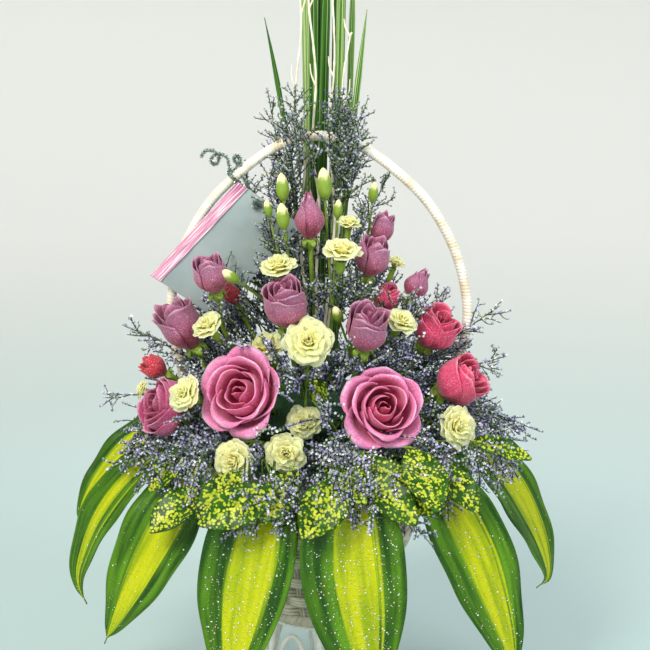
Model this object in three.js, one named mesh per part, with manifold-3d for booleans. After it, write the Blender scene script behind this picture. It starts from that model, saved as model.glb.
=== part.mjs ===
// Flower basket arrangement: a woven basket with a tall cane handle on a wire stand, filled with
// floral foam that holds roses, spray carnations, sea lavender, dracaena and gold-dust leaves,
// tall grass and white willow twigs, with a blank card tied to the handle.
// Millimetres, +Z up. The origin is on the floor, under the middle of the basket. The front is -Y.
import * as THREE from 'three';
import { mergeVertices } from 'three/addons/utils/BufferGeometryUtils.js';
import Module from 'manifold-3d';

const wasm = await Module();
wasm.setup();

// ---- driving dimensions ---------------------------------------------------------------------

const SEAT_GAP = 0.3;            // clearance between pieces that touch
const STAND_HEIGHT = 105;
const STAND_BASE_RADIUS = 68;
const STAND_TOP_RADIUS = 50;
const STAND_WIRE = 3.6;
const STAND_LEGS = 6;
const HOOP_HEIGHT = 90;
const HOOP_STEPS = 4;
const HOOP_SPAN = 0.8;           // share of the space between two legs
const BASKET_BASE_RADIUS = 57;
const BASKET_RIM_RADIUS = 130;   // middle of the rim braid
const BASKET_RIM_HEIGHT = 280;   // top of the rim braid
const BASKET_WALL = 6;
const BASKET_FLOOR = 6;
const RIM_BRAID = 8;             // radius of the braid's section
const FOOT_BORDER = 14;          // height of the plaited border round the basket's foot
const WEAVE_ROWS = 12;           // bands of weavers that go in front of and behind the stakes
const WEAVE_STAKES = 24;
const WEAVE_RELIEF = 1.8;
const HANDLE_RADIUS = 5;
const HANDLE_STEPS = 38;
const HANDLE_WRAP_RELIEF = 0.45;
const HANDLE_SOCKET_DEPTH = 13;
const LINER_WALL = 1.2;
const FOAM_TOP = 338;
const FOAM_SHOULDER_RADIUS = 104;
const LEAF_THICKNESS = 0.9;
const PETAL_THICKNESS = 1.0;
const ROSE_STEM_RADIUS = 2.2;
const CARNATION_STEM_RADIUS = 1.5;
const SPRAY_STEM_RADIUS = 1.1;

// All stems are cut to length and pushed into the foam towards one point inside it.
const FOCUS = new THREE.Vector3(0, 15, 262);
const HUB_RADIUS = 19;

const COLOUR = {
  cane: 0xefe9dc, handle: 0xf1ebe0, stand: 0xf2f0ea, liner: 0x2f3a34, foam: 0x2f5a3c,
  stem: 0x5d8a45, dracaena: 0x4f8a24, speckled: 0x6f9a35, grass: 0x2f6a2a, willow: 0xf2efe4,
  lavender: 0x9d96c4, mauve: 0x9a5f86, pink: 0xd07a9c, hot: 0xd8305f, red: 0xc41e3a,
  carnation: 0xf6f2b4, card: 0xb9c9cc, ribbon: 0xd59ab0, tinsel: 0x8f9a94,
};

// ---- solids ---------------------------------------------------------------------------------

const vec = (x, y, z) => new THREE.Vector3(x, y, z);

/** Signed volume of an indexed geometry, used to turn its faces outwards. */
function signedVolume(position, index) {
  const [a, b, c] = [vec(), vec(), vec()];
  let sum = 0;
  for (let i = 0; i < index.length; i += 3) {
    a.fromBufferAttribute(position, index[i]);
    b.fromBufferAttribute(position, index[i + 1]);
    c.fromBufferAttribute(position, index[i + 2]);
    sum += a.dot(b.cross(c));
  }
  return sum / 6;
}

/** The solid of a closed three.js geometry. */
function solidOf(geometry) {
  const bare = geometry.clone();
  bare.deleteAttribute('normal');
  bare.deleteAttribute('uv');
  const merged = mergeVertices(bare, 1e-4);
  const all = Array.from(merged.index.array);
  const kept = [];
  for (let i = 0; i < all.length; i += 3) {
    const [a, b, c] = all.slice(i, i + 3);
    if (a !== b && b !== c && c !== a) kept.push(a, b, c);
  }
  if (signedVolume(merged.attributes.position, kept) < 0) kept.reverse();
  return new wasm.Manifold(new wasm.Mesh({
    numProp: 3,
    vertProperties: Float32Array.from(merged.attributes.position.array),
    triVerts: Uint32Array.from(kept),
  }));
}

/** The three.js geometry of a solid. */
function geometryOf(solid) {
  const mesh = solid.getMesh();
  const geometry = new THREE.BufferGeometry();
  geometry.setAttribute('position', new THREE.BufferAttribute(mesh.vertProperties, 3));
  geometry.setIndex(new THREE.BufferAttribute(mesh.triVerts, 1));
  geometry.computeVertexNormals();
  return geometry;
}

/** Joins solids and keeps the main body, with sealed hollows filled and loose scraps dropped. */
function fused(solids) {
  const whole = wasm.Manifold.union(solids).simplify(0.1);
  const bodies = whole.decompose();
  return bodies.reduce((best, body) => (body.volume() > best.volume() ? body : best));
}

/** A closed geometry from points and triangles of their numbers. */
function meshOf(points, triangles) {
  const geometry = new THREE.BufferGeometry();
  geometry.setAttribute('position', new THREE.Float32BufferAttribute(
    points.flatMap((p) => [p.x, p.y, p.z]), 3));
  geometry.setIndex(triangles);
  return geometry;
}

/** A rod along points, with a radius at each and flat ends. */
function rod(points, radii, sides = 3) {
  const rings = [];
  const triangles = [];
  let across = null;
  points.forEach((point, i) => {
    const ahead = points[Math.min(i + 1, points.length - 1)];
    const behind = points[Math.max(i - 1, 0)];
    const along = ahead.clone().sub(behind).normalize();
    if (across === null) {
      across = Math.abs(along.z) < 0.9 ? vec(0, 0, 1) : vec(1, 0, 0);
    }
    across = across.clone().addScaledVector(along, -across.dot(along)).normalize();
    const other = along.clone().cross(across);
    for (let k = 0; k < sides; k += 1) {
      const angle = (2 * Math.PI * k) / sides;
      rings.push(point.clone()
        .addScaledVector(across, radii[i] * Math.cos(angle))
        .addScaledVector(other, radii[i] * Math.sin(angle)));
    }
  });
  for (let i = 0; i < points.length - 1; i += 1) {
    for (let k = 0; k < sides; k += 1) {
      const next = (k + 1) % sides;
      const [a, b] = [i * sides + k, i * sides + next];
      triangles.push(a, b, b + sides, a, b + sides, a + sides);
    }
  }
  const last = (points.length - 1) * sides;
  for (let k = 1; k < sides - 1; k += 1) {
    triangles.push(0, k + 1, k, last, last + k, last + k + 1);
  }
  return solidOf(meshOf(rings, triangles));
}

/** A thin sheet over rows of points, split into triangles alike on both faces. */
function blade(rows, thickness) {
  const columns = rows[0].length;
  const at = (i, j) => rows[THREE.MathUtils.clamp(i, 0, rows.length - 1)][
    THREE.MathUtils.clamp(j, 0, columns - 1)];
  const front = [];
  const back = [];
  rows.forEach((row, i) => row.forEach((point, j) => {
    const along = at(i + 1, j).clone().sub(at(i - 1, j));
    const across = at(i, j + 1).clone().sub(at(i, j - 1));
    const normal = along.cross(across).normalize().multiplyScalar(thickness / 2);
    front.push(point.clone().add(normal));
    back.push(point.clone().sub(normal));
  }));
  const offset = front.length;
  const number = (i, j) => i * columns + j;
  const triangles = [];
  for (let i = 0; i < rows.length - 1; i += 1) {
    for (let j = 0; j < columns - 1; j += 1) {
      const [a, b] = [number(i, j), number(i + 1, j)];
      const [c, d] = [b + 1, a + 1];
      triangles.push(a, b, c, a, c, d);
      triangles.push(a + offset, c + offset, b + offset, a + offset, d + offset, c + offset);
    }
  }
  const edge = [];
  for (let i = 0; i < rows.length - 1; i += 1) edge.push(number(i, 0));
  for (let j = 0; j < columns - 1; j += 1) edge.push(number(rows.length - 1, j));
  for (let i = rows.length - 1; i > 0; i -= 1) edge.push(number(i, columns - 1));
  for (let j = columns - 1; j > 0; j -= 1) edge.push(number(0, j));
  edge.forEach((p, k) => {
    const q = edge[(k + 1) % edge.length];
    triangles.push(q, p, p + offset, q, p + offset, q + offset);
  });
  return solidOf(meshOf([...front, ...back], triangles));
}

/** A turned solid about +Z from a profile of [radius, height]; relief moves its outer points. */
function turned(profile, segments, relief = null) {
  const outline = profile.map(([radius, height]) => new THREE.Vector2(radius, height));
  const geometry = new THREE.LatheGeometry(outline, segments);
  geometry.rotateX(Math.PI / 2);
  if (relief !== null) {
    const position = geometry.attributes.position;
    for (let i = 0; i < position.count; i += 1) {
      const turn = Math.floor(i / profile.length) % segments;
      const push = relief(turn, i % profile.length);
      const radius = Math.hypot(position.getX(i), position.getY(i));
      const scale = radius > 0 ? (radius + push) / radius : 1;
      position.setXY(i, position.getX(i) * scale, position.getY(i) * scale);
    }
  }
  return solidOf(geometry);
}

/** The 4x4 matrix that stands a piece made along +Z at a point, facing a direction. */
function standing(point, direction, spin = 0) {
  const turn = new THREE.Quaternion().setFromUnitVectors(vec(0, 0, 1), direction.clone().normalize());
  turn.multiply(new THREE.Quaternion().setFromAxisAngle(vec(0, 0, 1), spin));
  return new THREE.Matrix4().compose(point, turn, vec(1, 1, 1));
}

/** Seeded random numbers from 0 to 1. */
function randomFrom(seed) {
  let state = seed;
  return () => {
    state = (state + 0x6d2b79f5) | 0;
    let t = Math.imul(state ^ (state >>> 15), 1 | state);
    t = (t + Math.imul(t ^ (t >>> 7), 61 | t)) ^ t;
    return ((t ^ (t >>> 14)) >>> 0) / 4294967296;
  };
}

/** Points at equal steps on a smooth curve through the given [x, y, z] list. */
function smooth(list, steps) {
  return new THREE.CatmullRomCurve3(list.map((p) => vec(...p)), false, 'centripetal')
    .getSpacedPoints(steps);
}

const arrangement = new THREE.Group();
const made = [];

/** Adds one named sub-part to the arrangement. */
function add(name, solid, colour, roughness = 0.6) {
  const material = new THREE.MeshStandardMaterial({ color: colour, roughness, metalness: 0 });
  const mesh = new THREE.Mesh(geometryOf(solid), material);
  mesh.name = name;
  arrangement.add(mesh);
  made.push({ solid, box: solid.boundingBox() });
}

/** Whether a solid keeps its clearance to every sub-part made so far. */
function isClear(solid, clearance = 0.4) {
  const box = solid.boundingBox();
  for (const other of made) {
    const near = [0, 1, 2].every((k) => box.min[k] - clearance < other.box.max[k]
      && box.max[k] + clearance > other.box.min[k]);
    if (near && solid.minGap(other.solid, clearance) < clearance) return false;
  }
  return true;
}

// ---- stand: two rings, legs and hoops of white wrapped wire ----------------------------------

function buildStand() {
  const topZ = STAND_HEIGHT - SEAT_GAP;
  const half = STAND_WIRE * 0.5;
  const base = turned([
    [STAND_BASE_RADIUS - half, 0], [STAND_BASE_RADIUS + half, 0],
    [STAND_BASE_RADIUS + STAND_WIRE, STAND_WIRE], [STAND_BASE_RADIUS, 2 * STAND_WIRE],
    [STAND_BASE_RADIUS - STAND_WIRE, STAND_WIRE], [STAND_BASE_RADIUS - half, 0],
  ], 18);
  const seat = turned([
    [STAND_TOP_RADIUS - STAND_WIRE, topZ], [STAND_TOP_RADIUS - half, topZ - 2 * STAND_WIRE],
    [STAND_TOP_RADIUS + half, topZ - 2 * STAND_WIRE], [STAND_TOP_RADIUS + STAND_WIRE, topZ],
    [STAND_TOP_RADIUS - STAND_WIRE, topZ],
  ], 12);
  const pieces = [base, seat];
  const place = (turn, z) => {
    const radius = THREE.MathUtils.lerp(STAND_BASE_RADIUS, STAND_TOP_RADIUS, z / topZ);
    return vec(radius * Math.cos(turn), radius * Math.sin(turn), z);
  };
  for (let k = 0; k < STAND_LEGS; k += 1) {
    const turn = -Math.PI / 2 + (2 * Math.PI * k) / STAND_LEGS;
    const leg = [place(turn, STAND_WIRE), place(turn, topZ - STAND_WIRE)];
    pieces.push(rod(leg, [STAND_WIRE, STAND_WIRE], 4));
    const hoop = [];
    for (let step = 0; step <= HOOP_STEPS; step += 1) {
      const swing = (Math.PI * step) / HOOP_STEPS;
      const reach = (Math.PI / STAND_LEGS) * (1 - HOOP_SPAN * Math.cos(swing));
      hoop.push(place(turn + reach, STAND_WIRE + (HOOP_HEIGHT - STAND_WIRE) * Math.sin(swing)));
    }
    pieces.push(rod(hoop, hoop.map(() => STAND_WIRE * 0.65), 3));
  }
  add('stand', fused(pieces), COLOUR.stand, 0.55);
}

// ---- basket: tapered weave with a braided rim, open at the top -------------------------------

const basketRadius = (z) => {
  const t = (z - STAND_HEIGHT) / (BASKET_RIM_HEIGHT - STAND_HEIGHT);
  return THREE.MathUtils.lerp(BASKET_BASE_RADIUS, BASKET_RIM_RADIUS, t ** 0.9);
};

/** Radius of the basket's straight-sided inside. */
const insideRadius = (z) => {
  const t = (z - STAND_HEIGHT) / (BASKET_RIM_HEIGHT - STAND_HEIGHT);
  return THREE.MathUtils.lerp(BASKET_BASE_RADIUS, BASKET_RIM_RADIUS, t) - BASKET_WALL;
};

/** Middle line of the handle, from its left foot to its right foot. */
function handleLine(steps) {
  const foot = BASKET_RIM_HEIGHT - HANDLE_SOCKET_DEPTH + SEAT_GAP;
  const half = [[BASKET_RIM_RADIUS, foot], [BASKET_RIM_RADIUS + 1, 300], [138, 357], [147, 398],
    [147, 430], [138, 469], [123, 502], [104, 530], [78, 555], [50, 576], [24, 588]];
  const right = half.map(([x, z]) => [x, 0, z]);
  const left = half.map(([x, z]) => [-x, 0, z]).reverse();
  return smooth([...right, [0, 0, 591.5], ...left], steps);
}

function buildBasket() {
  const rimZ = BASKET_RIM_HEIGHT - RIM_BRAID;
  const footTop = STAND_HEIGHT + FOOT_BORDER;
  const border = basketRadius(footTop) + 0.4;
  const foot = [[BASKET_BASE_RADIUS, STAND_HEIGHT], [border - 3, STAND_HEIGHT + 1],
    [border, STAND_HEIGHT + 5], [border, footTop - 1]];
  const outer = [];
  for (let row = 0; row < WEAVE_ROWS; row += 1) {
    const z = THREE.MathUtils.lerp(footTop, rimZ - RIM_BRAID, (row + 0.5) / WEAVE_ROWS);
    outer.push([basketRadius(z), z]);
  }
  outer.push([basketRadius(rimZ - RIM_BRAID), rimZ - RIM_BRAID]);
  const braid = [-20, 35, 90, 145, 200].map((degrees) => {
    const angle = THREE.MathUtils.degToRad(degrees);
    return [BASKET_RIM_RADIUS + RIM_BRAID * Math.cos(angle), rimZ + RIM_BRAID * Math.sin(angle)];
  });
  const floorZ = STAND_HEIGHT + BASKET_FLOOR;
  const inner = [rimZ - RIM_BRAID, floorZ].map((z) => [insideRadius(z), z]);
  const profile = [[0, STAND_HEIGHT], ...foot, ...outer, ...braid, ...inner, [0, floorZ]];
  const firstBand = 1 + foot.length;
  const weave = (turn, row) => {
    const isWoven = row >= firstBand && row <= firstBand + WEAVE_ROWS + 2;
    return isWoven ? WEAVE_RELIEF * ((turn + row - firstBand) % 2 === 0 ? 1 : -1) : 0;
  };
  const body = turned(profile, WEAVE_STAKES, weave);
  const feet = handleLine(HANDLE_STEPS);
  const below = (point) => point.clone().setZ(point.z - SEAT_GAP);
  const line = [below(feet[0]), ...feet, below(feet[feet.length - 1])];
  const socket = rod(line, line.map(() => (HANDLE_RADIUS + 2 * SEAT_GAP + HANDLE_WRAP_RELIEF) * 1.05), 8);
  add('basket', fused([body.subtract(socket)]), COLOUR.cane, 0.75);
}

function buildHandle() {
  const line = handleLine(HANDLE_STEPS);
  const radii = line.map((_, i) => HANDLE_RADIUS + HANDLE_WRAP_RELIEF * (i % 2 === 0 ? 1 : -1));
  add('handle', fused([rod(line, radii, 5)]), COLOUR.handle, 0.6);
}

// ---- foam in its liner -----------------------------------------------------------------------

const sockets = [];

/** Records a plain hole in the foam for a round stem from one point to another. */
function socketFor(inner, outer, radius, sides = 3) {
  const along = outer.clone().sub(inner).normalize();
  const start = inner.clone().addScaledVector(along, -SEAT_GAP);
  const width = (radius + SEAT_GAP + 0.1) / Math.cos(Math.PI / sides);
  sockets.push(rod([start, outer], [width, width], sides));
}

/** Where a line out of the foam from one point along a direction is well clear of it. */
function foamExit(start, direction) {
  const step = direction.clone().normalize();
  const point = start.clone();
  while (Math.hypot(point.x, point.y) < FOAM_SHOULDER_RADIUS + 8 && point.z < FOAM_TOP + 8) {
    point.addScaledVector(step, 2);
  }
  return point;
}

const LINER_SIDES = 16;
const LINER_TOP = BASKET_RIM_HEIGHT - 2 * RIM_BRAID - 3;
const linerFloor = STAND_HEIGHT + BASKET_FLOOR + SEAT_GAP;
const linerRadius = (z) => insideRadius(z) * Math.cos(Math.PI / WEAVE_STAKES) - SEAT_GAP;

function buildLiner() {
  const [low, high] = [linerFloor, LINER_TOP];
  const floorZ = low + LINER_WALL;
  add('liner', turned([
    [0, low], [linerRadius(low), low], [linerRadius(high), high], [linerRadius(high) - LINER_WALL, high],
    [linerRadius(floorZ) - LINER_WALL, floorZ], [0, floorZ],
  ], LINER_SIDES), COLOUR.liner, 0.5);
}

function buildFoam() {
  const low = linerFloor + LINER_WALL + SEAT_GAP;
  const side = (z) => (linerRadius(z) - LINER_WALL) * Math.cos(Math.PI / LINER_SIDES) - SEAT_GAP;
  const waist = LINER_TOP - 26;
  const block = turned([
    [0, low], [side(low), low], [side(waist), waist], [FOAM_SHOULDER_RADIUS, BASKET_RIM_HEIGHT + 6],
    [FOAM_SHOULDER_RADIUS - 16, FOAM_TOP - 22], [46, FOAM_TOP], [0, FOAM_TOP],
  ], 12);
  add('foam', fused([block.subtract(wasm.Manifold.union(sockets))]), COLOUR.foam, 0.95);
}

// ---- roses and carnations --------------------------------------------------------------------

/** One petal: a cupped blade over rings of [radius, height, spread] about the head's axis. */
function petal(rings, middle, halfAngle) {
  const rows = rings.map(([radius, height, spread]) => [-1, 0, 1].map((side) => {
    const angle = middle + side * halfAngle * spread;
    const dip = 1 - 0.14 * side * side;
    return vec(radius * Math.cos(angle), radius * Math.sin(angle), height * dip);
  }));
  return blade(rows, PETAL_THICKNESS);
}

/** A rose head, from its base at the origin along +Z: a tight heart with petals in layers. */
function roseHead(radius, length, layers) {
  const open = layers.length;
  const heart = radius * (open === 1 ? 0.6 : 0.42);
  const parts = [turned([
    [0, 0], [radius * 0.44, 0], [radius * 0.56, length * 0.14], [heart * 0.6, length * 0.14],
    [heart, length * 0.45], [heart * 0.7, length * 0.86], [0, length * 0.8],
  ], 5)];
  layers.forEach(([count, reach], layer) => {
    const edge = radius * reach;
    const isOuter = layer === open - 1;
    const top = length * (1 - 0.2 * (open - 1) * (layer + 1) / 3);
    const tuck = [radius * (0.34 + 0.07 * layer), length * 0.07, 1];
    const waist = [edge * (open === 1 ? 0.98 : 0.84), length * 0.42, 1];
    const rings = [tuck, ...(isOuter ? [waist] : []), [edge, top, 0.72]];
    for (let k = 0; k < count; k += 1) {
      const middle = (2 * Math.PI * (k + 0.5 * (layer % 2))) / count + layer * 0.35;
      parts.push(petal(rings, middle, (Math.PI / count) * 0.86));
    }
  });
  return fused(parts);
}

/** A carnation head along +Z: tiers of four toothed petals, raised from a turned core. */
function carnationHead(radius, tiers) {
  const depth = radius * 0.85;
  const profile = [[0, 0], [radius * 0.18, 0], [radius * 0.34, depth * 0.42]];
  for (let tier = 0; tier < tiers; tier += 1) {
    const share = tiers === 1 ? 0 : tier / (tiers - 1);
    const reach = radius * THREE.MathUtils.lerp(1, 0.6, share);
    const rise = depth * THREE.MathUtils.lerp(0.72, 1.3, share);
    profile.push([reach, rise], [reach * 0.42, rise - depth * 0.08]);
  }
  profile[profile.length - 1] = [0, depth];
  const segments = 12;
  const tooth = [-0.4, 0, -0.08];
  return fused([turned(profile, segments, (turn, row) => {
    const isEdge = row > 2 && row < profile.length - 1 && row % 2 === 1;
    const shift = Math.floor(row / 2) * 2;
    return isEdge ? profile[row][0] * tooth[(turn + shift) % 3] : 0;
  })]);
}

// Petal layers as [petals, reach]: the reach is a share of the head's radius.
const FULL = [[3, 0.6], [3, 0.8], [3, 1]];
const HALF = [[2, 0.74], [3, 1]];
const BUD = [[3, 1]];

// Heads by the place of their middle, their radius and length. `face` turns a head that doesn't
// look straight out of the foam.
const ROSES = [
  { name: 'rose_01', at: [-73, -116, 363], radius: 42, length: 42, layers: FULL, colour: 'pink',
    face: [-0.36, -0.84, 0.42] },
  { name: 'rose_02', at: [60, -125, 352], radius: 40, length: 40, layers: FULL, colour: 'pink',
    face: [0.2, -0.88, 0.42] },
  { name: 'rose_03', at: [-148, -66, 335], radius: 29, length: 40, layers: HALF, colour: 'pink' },
  { name: 'rose_04', at: [-31, -94, 444], radius: 23, length: 48, layers: HALF, colour: 'mauve',
    face: [-0.1, -0.38, 0.9] },
  { name: 'rose_05', at: [45, -104, 422], radius: 21, length: 46, layers: HALF, colour: 'mauve',
    face: [0.12, -0.4, 0.88] },
  { name: 'rose_06', at: [-134, -40, 412], radius: 21, length: 52, layers: HALF, colour: 'mauve',
    face: [-0.45, -0.2, 0.85] },
  { name: 'rose_07', at: [-9, -50, 520], radius: 15, length: 46, layers: BUD, colour: 'mauve' },
  { name: 'rose_08', at: [51, -60, 482], radius: 17, length: 40, layers: BUD, colour: 'mauve' },
  { name: 'rose_09', at: [62, -20, 503], radius: 12, length: 32, layers: BUD, colour: 'mauve' },
  { name: 'rose_10', at: [96, -36, 452], radius: 13, length: 34, layers: BUD, colour: 'mauve' },
  { name: 'rose_11', at: [-102, -58, 465], radius: 18, length: 38, layers: BUD, colour: 'mauve',
    face: [-0.2, -0.3, 0.93] },
  { name: 'rose_12', at: [137, -58, 359], radius: 26, length: 46, layers: HALF, colour: 'hot' },
  { name: 'rose_13', at: [114, -35, 407], radius: 24, length: 42, layers: HALF, colour: 'hot',
    face: [0.45, -0.35, 0.8] },
  { name: 'rose_14', at: [66, -42, 438], radius: 13, length: 28, layers: BUD, colour: 'hot' },
  { name: 'rose_15', at: [-163, -26, 366], radius: 12, length: 26, layers: BUD, colour: 'red' },
  { name: 'rose_16', at: [-86, -27, 441], radius: 10, length: 26, layers: BUD, colour: 'red' },
];

const CARNATIONS = [
  { name: 'carnation_01', at: [-9, -116, 411], radius: 25, tiers: 3, face: [0, -0.86, 0.5] },
  { name: 'carnation_02', at: [-50, -56, 392], radius: 22, tiers: 2 },
  { name: 'carnation_03', at: [-38, -73, 474], radius: 20, tiers: 2, face: [-0.1, -0.3, 0.95] },
  { name: 'carnation_04', at: [22, -85, 491], radius: 20, tiers: 2, face: [0.1, -0.3, 0.95] },
  { name: 'carnation_05', at: [29, -52, 513], radius: 12, tiers: 2 },
  { name: 'carnation_06', at: [-105, -76, 418], radius: 17, tiers: 2 },
  { name: 'carnation_07', at: [-124, -112, 361], radius: 19, tiers: 2 },
  { name: 'carnation_08', at: [-174, -30, 344], radius: 11, tiers: 2 },
  { name: 'carnation_09', at: [-78, -138, 304], radius: 22, tiers: 3, face: [-0.35, -0.8, 0.2] },
  { name: 'carnation_10', at: [-30, -144, 313], radius: 20, tiers: 3, face: [-0.1, -0.9, 0.2] },
  { name: 'carnation_11', at: [-14, -112, 333], radius: 18, tiers: 2 },
  { name: 'carnation_12', at: [78, -80, 423], radius: 17, tiers: 2 },
  { name: 'carnation_13', at: [131, -92, 324], radius: 22, tiers: 3, face: [0.45, -0.75, 0.3] },
  { name: 'carnation_14', at: [142, 24, 366], radius: 12, tiers: 2 },
  { name: 'carnation_15', at: [76, 4, 465], radius: 12, tiers: 2 },
];

// Spray carnations: each stem leaves the foam and forks there to its heads and buds.
const SPRAYS = [
  { fork: [-24, -25, 412], heads: ['carnation_03'],
    buds: [[-34, -30, 532, 26], [-33, -54, 508, 26], [-47, -42, 518, 16], [-76, -80, 462, 22]] },
  { fork: [13, -25, 420], heads: ['carnation_04', 'carnation_05'],
    buds: [[6, -30, 533, 30], [18, -32, 515, 18]] },
  { fork: [40, 8, 410], heads: ['carnation_15'], buds: [[52, -10, 528, 20]] },
  { fork: [-44, -27, 352], heads: ['carnation_02', 'carnation_06'], buds: [] },
  { fork: [-92, -62, 321], heads: ['carnation_07', 'carnation_08', 'carnation_09'], buds: [] },
  { fork: [-13, -90, 336], heads: ['carnation_01', 'carnation_10', 'carnation_11'], buds: [] },
  { fork: [38, -46, 366], heads: ['carnation_12'], buds: [[20, -84, 424, 20]] },
  { fork: [98, -14, 318], heads: ['carnation_13', 'carnation_14'], buds: [] },
];

const greens = [];

/** A straight stretch of stem from the hub out of the foam, with its hole. */
function plantStem(end, radius) {
  const out = end.clone().sub(FOCUS).normalize();
  const start = FOCUS.clone().addScaledVector(out, HUB_RADIUS * 0.8);
  socketFor(start, foamExit(FOCUS, out), radius);
  return start;
}

/** Green cup under a rose, with three sepals bent back from it. */
function roseCalyx(radius, length) {
  const cup = radius * 0.36;
  const sepal = length * 0.34;
  return turned([
    [0, -13], [cup, -4.5], [cup * 0.92, -SEAT_GAP], [0, -SEAT_GAP],
  ], 6, (turn, row) => {
    if (row === 1) return turn % 2 === 0 ? sepal : -cup * 0.2;
    return 0;
  });
}

/** The place of a head's base and the way that it looks. */
function poseOf(head, depth) {
  const middle = vec(...head.at);
  const face = head.face ? vec(...head.face) : middle.clone().sub(FOCUS);
  face.normalize();
  return { face, base: middle.addScaledVector(face, -depth) };
}

function buildRoses() {
  for (const rose of ROSES) {
    const { face, base } = poseOf(rose, rose.length / 2);
    const frame = standing(base, face, rose.radius).elements;
    const head = roseHead(rose.radius, rose.length, rose.layers);
    add(rose.name, head.transform(frame), COLOUR[rose.colour]);
    greens.push(roseCalyx(rose.radius, rose.length).transform(frame));
    const foot = base.clone().addScaledVector(face, -10);
    const elbow = foot.clone().addScaledVector(face, -0.22 * foot.distanceTo(FOCUS));
    const line = rose.face ? [plantStem(elbow, ROSE_STEM_RADIUS), elbow, foot]
      : [plantStem(foot, ROSE_STEM_RADIUS), foot];
    greens.push(rod(line, line.map(() => ROSE_STEM_RADIUS), 3));
  }
}

function buildCarnations() {
  const bases = new Map();
  for (const carnation of CARNATIONS) {
    const { face, base } = poseOf(carnation, carnation.radius * 0.45);
    const frame = standing(base, face, carnation.radius).elements;
    const head = carnationHead(carnation.radius, carnation.tiers);
    add(carnation.name, head.transform(frame), COLOUR.carnation, 0.8);
    bases.set(carnation.name, { face, base, cup: carnation.radius * 0.22 });
  }
  const thin = CARNATION_STEM_RADIUS * 0.8;
  for (const spray of SPRAYS) {
    const fork = vec(...spray.fork);
    greens.push(rod([plantStem(fork, CARNATION_STEM_RADIUS), fork],
      [CARNATION_STEM_RADIUS, CARNATION_STEM_RADIUS * 1.3], 3));
    for (const name of spray.heads) {
      const { face, base, cup } = bases.get(name);
      const down = (reach) => base.clone().addScaledVector(face, -reach);
      greens.push(rod([fork, down(15), down(9), down(SEAT_GAP)], [thin, thin, cup, cup * 1.1], 3));
    }
    for (const [x, y, z, length] of spray.buds) {
      const foot = vec(x, y, z);
      const face = foot.clone().sub(fork).normalize();
      const up = (share) => foot.clone().addScaledVector(face, length * share);
      const wide = length * 0.25;
      greens.push(rod([fork, foot, up(0.5), up(1)], [thin, thin * 1.4, wide, wide * 0.4], 3));
    }
  }
}

function buildBloomStems() {
  greens.push(solidOf(new THREE.IcosahedronGeometry(HUB_RADIUS).translate(...FOCUS.toArray())));
  sockets.push(solidOf(new THREE.IcosahedronGeometry(HUB_RADIUS * 1.05).translate(...FOCUS.toArray())));
  add('bloom_stems', fused(greens), COLOUR.stem);
}

// ---- dracaena leaves -------------------------------------------------------------------------

// Each leaf by points on its midrib outside the foam, its greatest width, and the way that its
// face looks halfway down. The root comes out of the foam over the basket's rim.
const DRACAENA = [
  { name: 'dracaena_01', width: 52, look: [-0.5, -0.7, 0.5],
    line: [[-150, 28, 300], [-192, 24, 274], [-226, 18, 238], [-246, 12, 204], [-240, 4, 190]] },
  { name: 'dracaena_02', width: 44, look: [-0.5, -0.8, 0.3],
    line: [[-146, -44, 298], [-190, -58, 262], [-220, -62, 222], [-238, -60, 176], [-240, -58, 150],
      [-232, -58, 130]] },
  { name: 'dracaena_03', width: 80, look: [-0.6, -0.8, 0.1],
    line: [[-112, -108, 298], [-138, -128, 256], [-166, -140, 206], [-192, -142, 150], [-203, -140, 124]] },
  { name: 'dracaena_04', width: 88, look: [-0.25, -1, 0.1],
    line: [[-38, -142, 291], [-54, -170, 260], [-68, -184, 206], [-78, -190, 142], [-86, -188, 84]] },
  { name: 'dracaena_05', width: 98, look: [0.2, -1, 0.1],
    line: [[26, -152, 298], [29, -177, 268], [32, -188, 216], [42, -193, 146], [50, -188, 76]] },
  { name: 'dracaena_06', width: 78, look: [0.5, -0.85, 0.1],
    line: [[104, -118, 298], [122, -140, 268], [152, -150, 208], [178, -150, 130], [186, -146, 88]] },
  { name: 'dracaena_07', width: 58, look: [0.6, -0.7, 0.4],
    line: [[148, -24, 296], [180, -16, 262], [206, -8, 226], [230, 0, 174], [238, 4, 136], [226, 4, 122]] },
  { name: 'dracaena_08', width: 74, look: [-0.5, 0.85, 0.2],
    line: [[-96, 122, 298], [-116, 146, 262], [-138, 164, 210], [-152, 168, 150], [-154, 164, 118]] },
  { name: 'dracaena_09', width: 82, look: [0, 1, 0.15],
    line: [[0, 156, 298], [0, 176, 264], [2, 192, 208], [4, 196, 146], [4, 192, 108]] },
  { name: 'dracaena_10', width: 74, look: [0.5, 0.85, 0.2],
    line: [[98, 120, 298], [118, 144, 262], [140, 162, 210], [156, 166, 150], [158, 162, 120]] },
];
const LEAF_ROOT_WIDTH = 9;
const LEAF_ROOT_HEIGHT = 256;    // height on the axis that the leaf roots point to
const LEAF_ROOT_DEPTH = 62;      // how near the axis a root ends

/** Rows of points for a long leaf: a shallow channel whose width swells and tapers. */
function leafRows(line, width, look, steps, fold) {
  const points = smooth(line, steps);
  return points.map((point, i) => {
    const t = i / steps;
    const along = points[Math.min(i + 1, steps)].clone().sub(points[Math.max(i - 1, 0)]).normalize();
    const swell = Math.sin(Math.PI * Math.min(1, 0.04 + t) ** 0.82) ** 0.75;
    const share = Math.min(1, t / 0.14);
    const half = Math.max(0.6, 0.5 * THREE.MathUtils.lerp(LEAF_ROOT_WIDTH, width * swell, share));
    const across = along.clone().cross(vec(...look)).normalize();
    const normal = across.clone().cross(along).normalize();
    const drop = half * fold;
    return [-1, 0, 1].map((side) => point.clone()
      .addScaledVector(across, side * half)
      .addScaledVector(normal, side === 0 ? -drop : 0));
  });
}

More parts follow.
